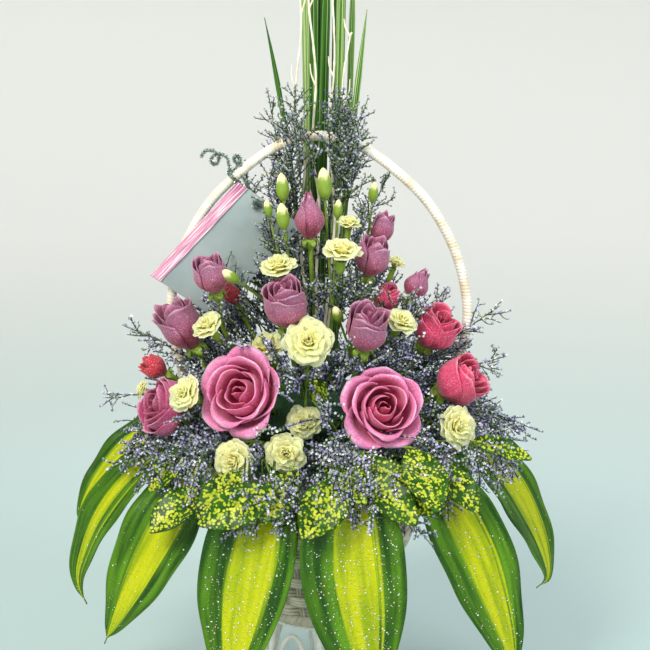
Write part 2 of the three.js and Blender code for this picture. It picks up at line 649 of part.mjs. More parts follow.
function buildDracaena() {
  for (const leaf of DRACAENA) {
    const first = vec(...leaf.line[0]);
    const turn = Math.atan2(first.y, first.x);
    const rootAt = (radius) => {
      const reach = Math.hypot(first.x, first.y);
      const z = THREE.MathUtils.lerp(LEAF_ROOT_HEIGHT, first.z, radius / reach);
      return [radius * Math.cos(turn), radius * Math.sin(turn), z];
    };
    const line = [rootAt(LEAF_ROOT_DEPTH), rootAt(FOAM_SHOULDER_RADIUS), ...leaf.line];
    const rows = leafRows(leaf.line, leaf.width, leaf.look, 6, 0.12);
    const side = vec(-Math.sin(turn), Math.cos(turn), 0);
    const root = [line[0], line[1]].map((p) => [-1, 0, 1].map((s) => vec(...p)
      .addScaledVector(side, -s * LEAF_ROOT_WIDTH * 0.5)));
    add(leaf.name, fused([blade([...root, ...rows], LEAF_THICKNESS)]), COLOUR.dracaena, 0.45);
    const slot = [rootAt(LEAF_ROOT_DEPTH - 0.6), rootAt(FOAM_SHOULDER_RADIUS + 10)].map((p) => [-1, 1]
      .map((s) => vec(...p).addScaledVector(side, -s * (LEAF_ROOT_WIDTH * 0.5 + 1))));
    sockets.push(blade(slot, LEAF_THICKNESS + 3));
  }
}

// ---- grass and willow ------------------------------------------------------------------------

const GRASS_FOOT = [0, 40, 300];
const GRASS_FOOT_RADIUS = 17;
// Each blade by its foot's x and y, its tip, its width and how far its middle bows along x.
const GRASS = [
  { foot: [-12, 33], tip: [-15, 24, 796], width: 8, bow: 1 },
  { foot: [-5, 31], tip: [-5, 26, 800], width: 8, bow: 0 },
  { foot: [2, 32], tip: [9, 22, 790], width: 9, bow: -1 },
  { foot: [9, 33], tip: [23, 28, 798], width: 9, bow: 1 },
  { foot: [13, 37], tip: [47, 24, 712], width: 6, bow: -2 },
  { foot: [-13, 41], tip: [-53, 26, 704], width: 5, bow: 5 },
  { foot: [-7, 45], tip: [-12, 42, 786], width: 7, bow: -1 },
  { foot: [0, 46], tip: [3, 48, 800], width: 7, bow: 0 },
  { foot: [7, 45], tip: [18, 46, 792], width: 8, bow: 1 },
  { foot: [13, 44], tip: [34, 40, 776], width: 6, bow: 2 },
];

function buildGrass() {
  const [footX, footY, footZ] = GRASS_FOOT;
  const top = FOAM_TOP - 8;
  const sheath = [vec(footX, footY, footZ), vec(footX, footY, top)];
  const parts = [rod(sheath, [GRASS_FOOT_RADIUS * 0.9, GRASS_FOOT_RADIUS], 6)];
  socketFor(sheath[0], vec(footX, footY, FOAM_TOP + 10), GRASS_FOOT_RADIUS, 6);
  for (const { foot, tip, width, bow } of GRASS) {
    const steps = 3;
    const rows = [];
    for (let i = 0; i <= steps; i += 1) {
      const t = i / steps;
      const middle = vec(foot[0], foot[1], top - 6).lerp(vec(...tip), t);
      middle.x += bow * 4 * t * (1 - t) * 2;
      const half = Math.max(0.5, 0.5 * width * Math.min(1, 0.6 + 1.4 * t, 4.2 * (1 - t) ** 0.8));
      rows.push([-1, 1].map((side) => middle.clone().add(vec(side * half, 0, 0))));
    }
    parts.push(blade(rows, LEAF_THICKNESS));
  }
  add('grass', fused(parts), COLOUR.grass, 0.55);
}

// White willow: twigs that leave one short branch and zigzag up to their tips.
const WILLOW_FORK = [0, 18, 352];
const WILLOW = [
  [[-10, 15, 410], [-19, 13, 500], [-14, 12, 560], [-23, 12, 625], [-17, 12, 700], [-22, 12, 786]],
  [[-3, 14, 440], [0, 11, 520], [-7, 10, 580], [-3, 10, 650], [-10, 10, 720], [-12, 10, 792]],
  [[9, 15, 430], [15, 14, 510], [10, 14, 590], [15, 14, 660], [13, 14, 728]],
  [[16, 17, 440], [21, 17, 520], [27, 17, 600], [24, 17, 640], [32, 17, 690]],
];
const WILLOW_RADIUS = 1.7;
const WILLOW_SPUR_KNOT = 3;       // the bend of a twig that its side spur grows from

function buildWillow() {
  const fork = vec(...WILLOW_FORK);
  const foot = vec(fork.x, fork.y, 300);
  socketFor(foot, fork, 2.6);
  const parts = [rod([foot, fork], [2.4, 2.6], 5)];
  WILLOW.forEach((list) => {
    const line = [fork, ...list.map((p) => vec(...p))];
    const radii = line.map((_, i) => THREE.MathUtils.lerp(WILLOW_RADIUS, 0.9, i / (line.length - 1)));
    parts.push(rod(line, radii, 3));
    const from = line[WILLOW_SPUR_KNOT];
    const out = Math.sign(from.x - line[WILLOW_SPUR_KNOT - 1].x);
    parts.push(rod([from, from.clone().add(vec(5 * out, -2, 26))], [1.1, 0.8], 3));
  });
  add('willow', fused(parts), COLOUR.willow, 0.7);
}

// ---- card on the handle ----------------------------------------------------------------------

const CARD_THICKNESS = 0.8;
const CARD_TOP = [-79, -13, 548];
const CARD_LEFT = [-166, -13, 456];
const CARD_ACROSS = [0.83, 0, -0.56];
const CARD_WIDTH = 76;
const RIBBON_WIDTH = 12;

function buildCard() {
  const [top, left] = [vec(...CARD_TOP), vec(...CARD_LEFT)];
  const along = left.clone().sub(top).normalize();
  const across = vec(...CARD_ACROSS).normalize();
  const strip = (width, y) => blade([top, left].map((corner) => [0, width]
    .map((reach) => corner.clone().addScaledVector(across, reach).setY(corner.y + y))), CARD_THICKNESS);
  const hole = top.clone().addScaledVector(along, 8).addScaledVector(across, RIBBON_WIDTH + 17);
  const punch = rod([hole.clone().add(vec(0, -5, 0)), hole.clone().add(vec(0, 5, 0))], [3.6, 3.6], 6);
  add('card', fused([strip(CARD_WIDTH, 0).subtract(punch)]), COLOUR.card, 0.5);
  add('card_ribbon', fused([strip(RIBBON_WIDTH, -CARD_THICKNESS - SEAT_GAP)]), COLOUR.ribbon, 0.35);
  return hole;
}

const TINSEL_RADIUS = 1.2;
const KNOT_RADIUS = 5.4;
const KNOT_LENGTH = 5;
const TINSEL_RING_STEPS = 10;
const TINSEL_RING = (HANDLE_RADIUS + HANDLE_WRAP_RELIEF + TINSEL_RADIUS + SEAT_GAP)
  / Math.cos(Math.PI / TINSEL_RING_STEPS);

/** A ring of tinsel wire round the handle, with curled tails and a strand knotted at the card. */
function buildTinsel(hole) {
  const line = handleLine(400);
  const near = line.reduce((best, p) => (p.distanceTo(hole) < best.distanceTo(hole) ? p : best));
  const along = line[line.indexOf(near) + 1].clone().sub(near).normalize();
  const reach = hole.clone().setY(0).sub(near).normalize();
  const side = reach.clone().cross(along);
  const round = (angle) => near.clone().addScaledVector(reach, TINSEL_RING * Math.cos(angle))
    .addScaledVector(side, TINSEL_RING * Math.sin(angle));
  const ring = Array.from({ length: TINSEL_RING_STEPS + 1 }, (_, i) => (
    round((2 * Math.PI * i) / TINSEL_RING_STEPS)));
  const knot = [SEAT_GAP, KNOT_LENGTH].map((reach) => hole.clone()
    .add(vec(0, -CARD_THICKNESS / 2 - reach, 0)));
  const strand = [ring[0], hole.clone().add(vec(0, 6, 0)), knot[1].clone().lerp(knot[0], 0.3)];
  const curl = (sign, steps, size) => {
    const root = ring[TINSEL_RING_STEPS / 2];
    const points = [root];
    for (let i = 1; i <= steps; i += 1) {
      const angle = (2 * Math.PI * i) / 5;
      const aside = sign * (4 + i * 1.8) + size * Math.sin(angle);
      const rise = 4 + size * (1 - Math.cos(angle)) + i * 0.8;
      points.push(root.clone().add(vec(aside, -2 - 0.3 * i, rise)));
    }
    return rod(points, points.map(() => TINSEL_RADIUS * 0.8), 3);
  };
  add('tinsel_tie', fused([
    rod(ring, ring.map(() => TINSEL_RADIUS), 3), rod(strand, strand.map(() => TINSEL_RADIUS * 0.8), 3),
    rod(knot, [KNOT_RADIUS, KNOT_RADIUS * 0.5], 6),
    curl(-1, 7, 5), curl(1, 4, 4),
  ]), COLOUR.tinsel, 0.4);
}

// ---- gold-dust leaves ------------------------------------------------------------------------

// Each sprig leaves the foam and forks to its leaves: base, tip, width and the way a leaf looks.
const SPRIGS = [
  { name: 'gold_dust_left', fork: [-60, -100, 312], leaves: [
    { from: [-38, -178, 289], to: [-107, -198, 263], width: 38, look: [-0.1, -1, 0.5] },
    { from: [-107, -144, 281], to: [-154, -168, 245], width: 36, look: [-0.4, -0.9, 0.6] },
  ] },
  { name: 'gold_dust_right', fork: [30, -108, 304], leaves: [
    { from: [22, -184, 301], to: [-14, -203, 252], width: 42, look: [0, -1, 0.5] },
    { from: [20, -150, 314], to: [104, -184, 268], width: 42, look: [0.2, -1, 0.7] },
    { from: [86, -142, 318], to: [106, -200, 276], width: 42, look: [0.3, -1, 0.6] },
    { from: [146, -84, 308], to: [204, -88, 290], width: 24, look: [0.2, -0.6, 0.8] },
  ] },
  { name: 'gold_dust_back', fork: [-6, 124, 312], leaves: [
    { from: [-40, 138, 322], to: [-92, 156, 318], width: 38, look: [-0.2, 0.6, 0.9] },
    { from: [26, 142, 322], to: [84, 160, 320], width: 38, look: [0.2, 0.6, 0.9] },
  ] },
];
const LEAFLET_STEPS = 4;

function buildSprigs() {
  for (const { name, fork, leaves } of SPRIGS) {
    const joint = vec(...fork);
    const out = joint.clone().sub(FOCUS).normalize();
    const start = FOCUS.clone().addScaledVector(out, HUB_RADIUS + 22);
    socketFor(start, foamExit(FOCUS, out), 1.6);
    const parts = [rod([start, joint], [1.5, 1.7], 4)];
    for (const { from, to, width, look } of leaves) {
      const [base, tip] = [vec(...from), vec(...to)];
      const arch = base.clone().lerp(tip, 0.5).add(vec(...look).normalize().multiplyScalar(5));
      const line = smooth([from, arch.toArray(), to], LEAFLET_STEPS);
      const inside = base.clone().lerp(line[1], 0.1);
      parts.push(rod([joint, inside], [1.2, 1], 3));
      const rows = line.map((point, i) => {
        const t = i / LEAFLET_STEPS;
        const half = Math.max(0.6, 0.5 * width * Math.sin(Math.PI * (0.06 + 0.91 * t)) ** 0.8);
        const ahead = line[Math.min(i + 1, LEAFLET_STEPS)];
        const along = ahead.clone().sub(line[Math.max(i - 1, 0)]).normalize();
        const across = along.clone().cross(vec(...look)).normalize();
        const dip = along.clone().cross(across).normalize().multiplyScalar(half * 0.16);
        return [-1, 0, 1].map((side) => point.clone().addScaledVector(across, side * half)
          .add(side === 0 ? dip : vec(0, 0, 0)));
      });
      parts.push(blade(rows, LEAF_THICKNESS));
    }
    add(name, fused(parts), COLOUR.speckled, 0.5);
  }
}

// ---- sea lavender ----------------------------------------------------------------------------

// Each panicle leaves the foam on one stem and branches out to the tips. Branches and twigs swell
// where they carry their florets. What would touch another piece is bent clear or left out.
const PANICLES = [
  { name: 'sea_lavender_left', fork: [-92, -8, 340], tips: [
    [-194, -8, 404], [-214, -30, 340], [-206, -66, 272], [-164, -98, 296], [-126, 14, 444],
  ] },
  { name: 'sea_lavender_right', fork: [92, 2, 346], tips: [
    [178, -14, 425], [184, -30, 378], [220, -34, 302], [196, -80, 276], [120, 24, 440],
  ] },
  { name: 'sea_lavender_top', fork: [-26, 30, 372], tips: [
    [-50, 8, 636], [-34, 4, 600], [-72, 6, 566], [48, 6, 628], [74, 16, 562],
  ] },
  { name: 'sea_lavender_front', fork: [22, -98, 332], tips: [
    [-88, -178, 240], [-38, -186, 250], [34, -188, 256], [104, -176, 234], [-44, -160, 336],
    [104, -146, 326],
  ] },
  { name: 'sea_lavender_back', fork: [34, 108, 350], tips: [
    [-110, 104, 400], [-30, 140, 430], [104, 108, 402], [64, 144, 344], [36, 100, 486],
  ] },
];
const FLORET_RADIUS = 3;
const BRANCH_BEADS = 4;
const TWIG_SHARE = 0.5;          // where on a branch its side twig grows
const TWIG_LENGTH = 42;

/** A line that swells at every other point, where florets sit, and steps from side to side. */
function beaded(line, beads, aside, radius) {
  const curve = new THREE.CatmullRomCurve3(line);
  const points = [];
  const radii = [];
  const last = 2 * beads;
  for (let i = 0; i <= last; i += 1) {
    const t = i / last;
    const isBead = i % 2 === 1;
    const swing = isBead ? (i % 4 === 1 ? 1 : -1) : 0;
    points.push(curve.getPoint(0.25 * (1 - t) * t + t).addScaledVector(aside, swing * 1.6));
    radii.push(isBead ? FLORET_RADIUS * (0.7 + 0.3 * t) : THREE.MathUtils.lerp(radius, 0.8, t));
  }
  return rod(points, radii, 3);
}

function buildPanicles() {
  const random = randomFrom(11);
  const jitter = (size) => vec(random(), random(), random()).subScalar(0.5).multiplyScalar(2 * size);
  for (const { name, fork, tips } of PANICLES) {
    const joint = vec(...fork);
    const out = joint.clone().sub(FOCUS).normalize();
    const start = FOCUS.clone().addScaledVector(out, HUB_RADIUS + 22);
    socketFor(start, foamExit(FOCUS, out), 1.8);
    const parts = [rod([start, joint], [1.7, 1.9], 4)];
    for (const tip of tips) {
      for (let attempt = 0; attempt < 150; attempt += 1) {
        const end = vec(...tip).add(jitter(Math.min(14, attempt * 0.2)));
        const middle = joint.clone().lerp(end, 0.5).add(jitter(8 + attempt * 0.25));
        const curve = new THREE.CatmullRomCurve3([joint, middle, end]);
        const aside = jitter(1).cross(curve.getTangent(0.5)).normalize();
        const branch = beaded([joint, middle, end], BRANCH_BEADS, aside, SPRAY_STEM_RADIUS);
        if (!isClear(branch)) continue;
        parts.push(branch);
        growTwig(parts, curve, TWIG_SHARE, aside, jitter);
        break;
      }
    }
    add(name, fused(parts), COLOUR.lavender, 0.9);
  }
}

/** A short side twig with its florets, at a share of a branch, where there is room for it. */
function growTwig(parts, curve, share, aside, jitter) {
  const root = curve.getPoint(share);
  const along = curve.getTangent(share);
  for (let attempt = 0; attempt < 12; attempt += 1) {
    const way = along.clone().addScaledVector(aside, 0.9).add(jitter(0.5)).normalize();
    const tip = root.clone().addScaledVector(way, TWIG_LENGTH);
    const middle = root.clone().lerp(tip, 0.5);
    const twig = beaded([root, middle, tip], 3, aside, SPRAY_STEM_RADIUS * 0.8);
    if (isClear(twig)) {
      parts.push(twig);
      return;
    }
  }
}

buildStand();
buildBasket();
buildHandle();
buildRoses();
buildCarnations();
buildBloomStems();
buildDracaena();
buildGrass();
buildWillow();
buildTinsel(buildCard());
buildSprigs();
buildPanicles();
buildLiner();
buildFoam();

export default arrangement;
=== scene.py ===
"""Flower basket arrangement: the finish of every piece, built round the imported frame.

A woven basket on a wire stand, with a tall wound handle, holds open and closed roses, spray
carnations, sea lavender, striped dracaena leaves, gold-dust leaves, grass blades and bleached
willow. A blank card with a satin edge hangs on the handle by a tinsel tie.

+Z is up and the front is -Y. Every piece is shaped in millimetres, and `Skin.build` turns it to
metres. Only the studio is laid out in metres.
"""

import logging
import math
from dataclasses import dataclass, field
from enum import Enum

import bpy
import numpy as np
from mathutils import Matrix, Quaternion, Vector


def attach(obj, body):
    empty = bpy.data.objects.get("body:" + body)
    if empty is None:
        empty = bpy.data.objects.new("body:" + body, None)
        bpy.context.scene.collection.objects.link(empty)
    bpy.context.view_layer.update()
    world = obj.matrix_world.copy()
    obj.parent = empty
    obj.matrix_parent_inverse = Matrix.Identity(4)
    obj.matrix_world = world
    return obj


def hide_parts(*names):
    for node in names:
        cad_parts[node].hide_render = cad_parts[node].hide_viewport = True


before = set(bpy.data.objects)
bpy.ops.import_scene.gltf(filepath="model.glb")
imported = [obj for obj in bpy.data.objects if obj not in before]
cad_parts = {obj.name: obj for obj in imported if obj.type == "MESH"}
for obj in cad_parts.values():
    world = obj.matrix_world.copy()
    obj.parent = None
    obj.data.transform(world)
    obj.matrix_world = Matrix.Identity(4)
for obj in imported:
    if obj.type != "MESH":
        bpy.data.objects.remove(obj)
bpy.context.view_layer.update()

log = logging.getLogger("flower_basket")

MM = 0.001
TAU = 2 * math.pi
PHOTO_PIXELS = 650
# Where all stems meet, in the middle of the foam.
FOCUS = np.array([0.0, 15.0, 262.0])
# The tone of a rod or sheet that looks the same all over.
EVEN = np.array([0.5, 0, 0, 0.5])

Point = tuple[float, float, float]


# ---- numbers, colours and lines ---------------------------------------------------------------


def unit(vector: np.ndarray) -> np.ndarray:
    """A vector, or rows of vectors, at length 1."""
    length = np.linalg.norm(vector, axis=-1, keepdims=True)
    return vector / np.maximum(length, 1e-12)


def srgb(code: str) -> tuple[float, float, float, float]:
    """A linear colour from an sRGB hex code.

    Args:
        code: A hash and six hex digits.

    Returns:
        Linear red, green, blue and an alpha of 1.
    """
    parts = [int(code[i : i + 2], 16) / 255 for i in (1, 3, 5)]
    linear = [c / 12.92 if c <= 0.04045 else ((c + 0.055) / 1.055) ** 2.4 for c in parts]
    return (linear[0], linear[1], linear[2], 1.0)


def smoothstep(x: np.ndarray, low: float, high: float) -> np.ndarray:
    """0 below low, 1 above high, and a smooth turn between them."""
    t = np.clip((x - low) / (high - low), 0, 1)
    return t * t * (3 - 2 * t)


def polar(reach: np.ndarray, turn: np.ndarray, z: np.ndarray) -> np.ndarray:
    """Points at a reach from the Z axis, a turn about it and a height."""
    return np.stack(np.broadcast_arrays(reach * np.cos(turn), reach * np.sin(turn), z), axis=-1)


def at_shares(rows: np.ndarray, share: np.ndarray) -> np.ndarray:
    """Rows read at shares of the way from the first one to the last."""
    steps = np.linspace(0, 1, len(rows))
    return np.stack([np.interp(share, steps, rows[:, k]) for k in range(3)], axis=1)


def length_of(line: np.ndarray) -> float:
    """The length of a line of points."""
    return float(np.sum(np.linalg.norm(np.diff(line, axis=0), axis=1)))


def spline(points: list | np.ndarray, count: int) -> np.ndarray:
    """Points at equal steps on a smooth curve through the given ones.

    Args:
        points: The points that the curve passes, one in each row.
        count: How many points to return.

    Returns:
        An array of count rows.
    """
    knots = np.array(points, float)
    padded = np.vstack([2 * knots[0] - knots[1], knots, 2 * knots[-1] - knots[-2]])
    fine = []
    for i in range(1, len(padded) - 2):
        a, b, c, d = padded[i - 1 : i + 3]
        t = np.linspace(0, 1, 24, endpoint=False)[:, None]
        curve = 2 * b + (c - a) * t + (2 * a - 5 * b + 4 * c - d) * t**2
        fine.append(0.5 * (curve + (3 * b - a - 3 * c + d) * t**3))
    line = np.vstack([*fine, padded[-2:-1]])
    run = np.concatenate([[0], np.cumsum(np.linalg.norm(np.diff(line, axis=0), axis=1))])
    steps = np.linspace(0, run[-1], count)
    return np.stack([np.interp(steps, run, line[:, k]) for k in range(3)], axis=1)


def frame_of(direction: np.ndarray, spin: float = 0.0) -> np.ndarray:
    """The 3x3 matrix whose third column is a direction.

    Args:
        direction: Where the piece's own +Z goes.
        spin: How far the piece is turned about its own +Z first, in radians.

    Returns:
        A matrix that turns rows of points when they are multiplied by its transpose.
    """
    turn = Vector((0, 0, 1)).rotation_difference(Vector(direction)) @ Quaternion((0, 0, 1), spin)
    return np.array(turn.to_matrix())


# ---- meshes -----------------------------------------------------------------------------------


def tones_on(points: np.ndarray, *parts: np.ndarray | float) -> np.ndarray:
    """A tone at each point of a line or a grid.

    Args:
        points: The points, with xyz last.
        parts: Up to four numbers or arrays over the points; those left out are 0.

    Returns:
        Four numbers for each point.
    """
    tones = np.zeros((*points.shape[:-1], 4))
    for k, part in enumerate(parts):
        tones[..., k] = part
    return tones


def fan(sides: int) -> np.ndarray:
    """Triangles that close a ring of points."""
    return np.array([[0, k, k + 1] for k in range(1, sides - 1)])


class Skin:
    """The faces of one piece while it is built, with a tone of four numbers at each point."""

    def __init__(self) -> None:
        """Starts empty."""
        self.points: list[np.ndarray] = []
        self.tones: list[np.ndarray] = []
        self.faces: list[np.ndarray] = []
        self.slots: list[np.ndarray] = []
        self.count = 0

    def add(self, points: np.ndarray, faces: np.ndarray, tones: np.ndarray, slot: int = 0) -> None:
        """Adds faces over new points.

        Args:
            points: One point in each row.
            faces: Rows of point numbers that start at 0, three or four in each.
            tones: One row of four numbers for each point, or one row for all.
            slot: Which of the piece's finishes the faces take.
        """
        self.points.append(points)
        self.tones.append(np.broadcast_to(tones, (len(points), 4)))
        self.faces.append(faces + self.count)
        self.slots.append(np.full(len(faces), slot))
        self.count += len(points)

    def sheet(self, grid: np.ndarray, tones: np.ndarray, thickness: float = 0.0) -> None:
        """Adds a sheet over rows and columns of points.

        Args:
            grid: Points as rows, columns, xyz.
            tones: Tones as rows, columns, four numbers, or one row for all.
            thickness: Makes the sheet a closed solid of this thickness, if it isn't 0.
        """
        rows, columns = grid.shape[:2]
        tones = np.broadcast_to(tones, (rows, columns, 4)).reshape(-1, 4)
        number = np.arange(rows * columns).reshape(rows, columns)
        a, b, c, d = number[:-1, :-1], number[1:, :-1], number[1:, 1:], number[:-1, 1:]
        front = np.stack([a, b, c, d], axis=-1).reshape(-1, 4)
        if thickness <= 0:
            self.add(grid.reshape(-1, 3), front, tones)
            return
        along, across = np.gradient(grid, axis=0), np.gradient(grid, axis=1)
        push = unit(np.cross(along, across)) * thickness / 2
        top, under = (grid + push).reshape(-1, 3), (grid - push).reshape(-1, 3)
        rim = np.concatenate([number[:-1, 0], number[-1, :-1], number[:0:-1, -1], number[0, :0:-1]])
        ahead = np.roll(rim, -1)
        side = np.stack([ahead, rim, rim + rows * columns, ahead + rows * columns], axis=-1)
        faces = np.vstack([front, front[:, ::-1] + rows * columns, side])
        self.add(np.vstack([top, under]), faces, np.vstack([tones, tones]))

    def tube(
        self, line: np.ndarray, radii: np.ndarray, sides: int, tones: np.ndarray, slot: int = 0
    ) -> None:
        """Adds a round rod along a line, with closed ends unless the line meets itself.

        Args:
            line: The points that it follows.
            radii: Its radius at each point, or one for all.
            sides: How many sides it has.
            tones: A tone for each point of the line, or one for all.
            slot: Which finish it takes.
        """
        radii = np.broadcast_to(radii, (len(line),))
        points = line[:, None] + radii[:, None, None] * self.rings(line, sides)
        tones = np.broadcast_to(tones, (len(line), 4))
        number = np.arange(len(line) * sides).reshape(len(line), sides)
        a, b = number[:-1], number[1:]
        walls = np.stack([a, np.roll(a, -1, axis=1), np.roll(b, -1, axis=1), b], axis=-1)
        self.add(points.reshape(-1, 3), walls.reshape(-1, 4), np.repeat(tones, sides, axis=0), slot)
        if np.linalg.norm(line[0] - line[-1]) > 1e-4:
            self.add(points[0][::-1], fan(sides), tones[0], slot)
            self.add(points[-1], fan(sides), tones[-1], slot)

    @staticmethod
    def rings(line: np.ndarray, sides: int) -> np.ndarray:
        """Unit rings square to a line, turned as little as can be from point to point.

        Args:
            line: The points of the line.
            sides: Points in each ring.

        Returns:
            The rings as points, sides, xyz.
        """
        along = unit(np.gradient(line, axis=0))
        across = np.empty_like(along)
        start = np.array([0, 0, 1.0]) if abs(along[0][2]) < 0.9 else np.array([1.0, 0, 0])
        for i, way in enumerate(along):
            start = unit(start - way * (start @ way))
            across[i] = start
        other = np.cross(along, across)
        turn = (np.arange(sides) * TAU / sides)[None, :, None]
        return np.cos(turn) * across[:, None] + np.sin(turn) * other[:, None]

    def scatter(
        self,
        shape: np.ndarray,
        faces: np.ndarray,
        places: np.ndarray,
        axes: np.ndarray,
        sizes: np.ndarray,
        spins: np.ndarray,
        tones: np.ndarray,
        slot: int = 0,
    ) -> None:
        """Adds one copy of a small shape at each place.

        Args:
            shape: The shape's points, made along +Z.
            faces: Its faces.
            places: Where each copy stands.
            axes: Where each copy's +Z goes.
            sizes: The size of each copy.
            spins: How far each copy is turned about its own axis.
            tones: A tone for each copy.
            slot: Which finish the copies take.
        """
        z = unit(axes)
        helper = np.where(np.abs(z[:, 2:3]) < 0.9, [[0, 0, 1.0]], [[1.0, 0, 0]])
        x = unit(np.cross(helper, z))
        y = np.cross(z, x)
        cos, sin = np.cos(spins)[:, None], np.sin(spins)[:, None]
        x, y = x * cos + y * sin, y * cos - x * sin
        local = shape[None] * np.reshape(sizes, (-1, 1, 1))
        points = local[..., :1] * x[:, None] + local[..., 1:2] * y[:, None] + local[..., 2:] * z[:, None]
        points += places[:, None]
        first = (np.arange(len(places)) * len(shape))[:, None, None]
        number = (faces[None] + first).reshape(-1, faces.shape[1])
        self.add(points.reshape(-1, 3), number, np.repeat(tones, len(shape), axis=0), slot)

    def build(self, name: str, finishes: list["Finish"], smooth: bool = True) -> bpy.types.Object:
        """Makes the Blender object, in metres.

        Args:
            name: The object's name.
            finishes: The finishes of its slots, in order.
            smooth: Whether its faces are shaded smooth.

        Returns:
            The new object, linked to the scene.
        """
        mesh = bpy.data.meshes.new(name)
        faces = [row for block in self.faces for row in block.tolist()]
        mesh.from_pydata((np.vstack(self.points) * MM).tolist(), [], faces)
        mesh.polygons.foreach_set("material_index", np.concatenate(self.slots).astype(np.int32))
        mesh.polygons.foreach_set("use_smooth", np.full(len(faces), smooth))
        tone = mesh.attributes.new("tone", "FLOAT_COLOR", "POINT")
        tone.data.foreach_set("color", np.vstack(self.tones).astype(np.float32).ravel())
        for finish in finishes:
            mesh.materials.append(finish.material())
        mesh.validate()
        mesh.update()
        piece = bpy.data.objects.new(name, mesh)
        bpy.context.scene.collection.objects.link(piece)
        return piece


def settle(piece: bpy.types.Object, node: str) -> bpy.types.Object:
    """Lets a piece stand for its CAD node and ride with it.

    Args:
        piece: The finished piece.
        node: The CAD node that it stands for.

    Returns:
        The same piece.
    """
    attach(piece, "root")
    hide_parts(node)
    log.info("%s: %d faces", piece.name, len(piece.data.polygons))
    return piece


# ---- finishes ---------------------------------------------------------------------------------


class Kind(Enum):
    """A kind of shader node: its type, its fixed settings, the inputs filled in order, its output."""

    PLACE = ("TexCoord", {}, (), "Object")
    TONE = ("Attribute", {"attribute_name": "tone"}, (), "Color")
    SPLIT = ("SeparateColor", {}, ("Color",), "Red")
    JOIN = ("CombineXYZ", {}, ("X", "Y", "Z"), "Vector")
    STRETCH = ("Mapping", {}, ("Vector", "Scale"), "Vector")
    NOISE = ("TexNoise", {}, ("Vector", "Scale", "Detail"), "Fac")
    CELLS = ("TexVoronoi", {}, ("Vector", "Scale"), "Distance")
    RANGE = ("MapRange", {}, ("Value", "From Min", "From Max", "To Min", "To Max"), "Result")
    RAMP = ("ValToRGB", {}, ("Fac",), "Color")
    MIX = ("Mix", {"data_type": "RGBA"}, (0, 6, 7), 2)
    TINT = ("Mix", {"data_type": "RGBA", "blend_type": "MULTIPLY"}, (0, 6, 7), 2)
    ADD = ("Math", {"operation": "ADD"}, (0, 1), 0)
    SUBTRACT = ("Math", {"operation": "SUBTRACT"}, (0, 1), 0)
    SCALE_ADD = ("Math", {"operation": "MULTIPLY_ADD"}, (0, 1, 2), 0)
    SIZE = ("Math", {"operation": "ABSOLUTE"}, (0,), 0)
    FOLD = ("Math", {"operation": "PINGPONG"}, (0, 1), 0)
    BUMP = ("Bump", {}, ("Height", "Distance", "Strength"), "Normal")


def pattern(size: float) -> float:
    """The texture scale that gives patches of a size in millimetres."""
    return 1 / (size * MM)


@dataclass
class Graph:
    """The nodes of one material while they are laid out."""

    tree: bpy.types.NodeTree
    shader: bpy.types.Node

    def add(self, kind: Kind, *values: object, stops: tuple = ()) -> bpy.types.NodeSocket:
        """Adds a node with its settings and links.

        Args:
            kind: Which node it is.
            values: A number, a colour or an output socket for each of the kind's inputs, in order.
            stops: The places on a colour ramp, each with its sRGB hex code.

        Returns:
            The node's output.
        """
        name, settings, inputs, output = kind.value
        node = self.tree.nodes.new(f"ShaderNode{name}")
        for key, value in settings.items():
            setattr(node, key, value)
        for key, value in zip(inputs, values):
            if isinstance(value, bpy.types.NodeSocket):
                self.tree.links.new(value, node.inputs[key])
            else:
                node.inputs[key].default_value = value
        if stops:
            elements = node.color_ramp.elements
            while len(elements) < len(stops):
                elements.new(1.0)
            for element, (position, code) in zip(elements, stops):
                element.position = position
                element.color = srgb(code)
        return node.outputs[output]

    def tone(self) -> tuple[bpy.types.NodeSocket, ...]:
        """The mesh's tone: its three colour parts and its fourth number."""
        source = self.add(Kind.TONE)
        return (*self.add(Kind.SPLIT, source).node.outputs, source.node.outputs["Alpha"])

    def strips(self, tone: tuple, count: float, runs: float) -> bpy.types.NodeSocket:
        """Noise drawn out into strips along a leaf, petal or ribbon.

        Args:
            tone: The mesh's tone: the share across, the share along, and last its own seed.
            count: How many strips lie side by side.
            runs: How many times they change along it.

        Returns:
            A number from 0 to 1.
        """
        joined = self.add(Kind.JOIN, tone[0], tone[1], tone[3])
        stretched = self.add(Kind.STRETCH, joined, (count, runs, 23.0))
        return self.add(Kind.NOISE, stretched, 1.0, 2.0)

    def cover(
        self, colour: bpy.types.NodeSocket, height: bpy.types.NodeSocket, depth: float, strength: float
    ) -> None:
        """Gives the shader its colour and its relief.

        Args:
            colour: The surface's colour.
            height: The height of the relief, from 0 to 1.
            depth: How deep the relief is, in millimetres.
            strength: How strongly it shades.
        """
        self.tree.links.new(colour, self.shader.inputs["Base Color"])
        bump = self.add(Kind.BUMP, height, depth * MM, strength)
        self.tree.links.new(bump, self.shader.inputs["Normal"])


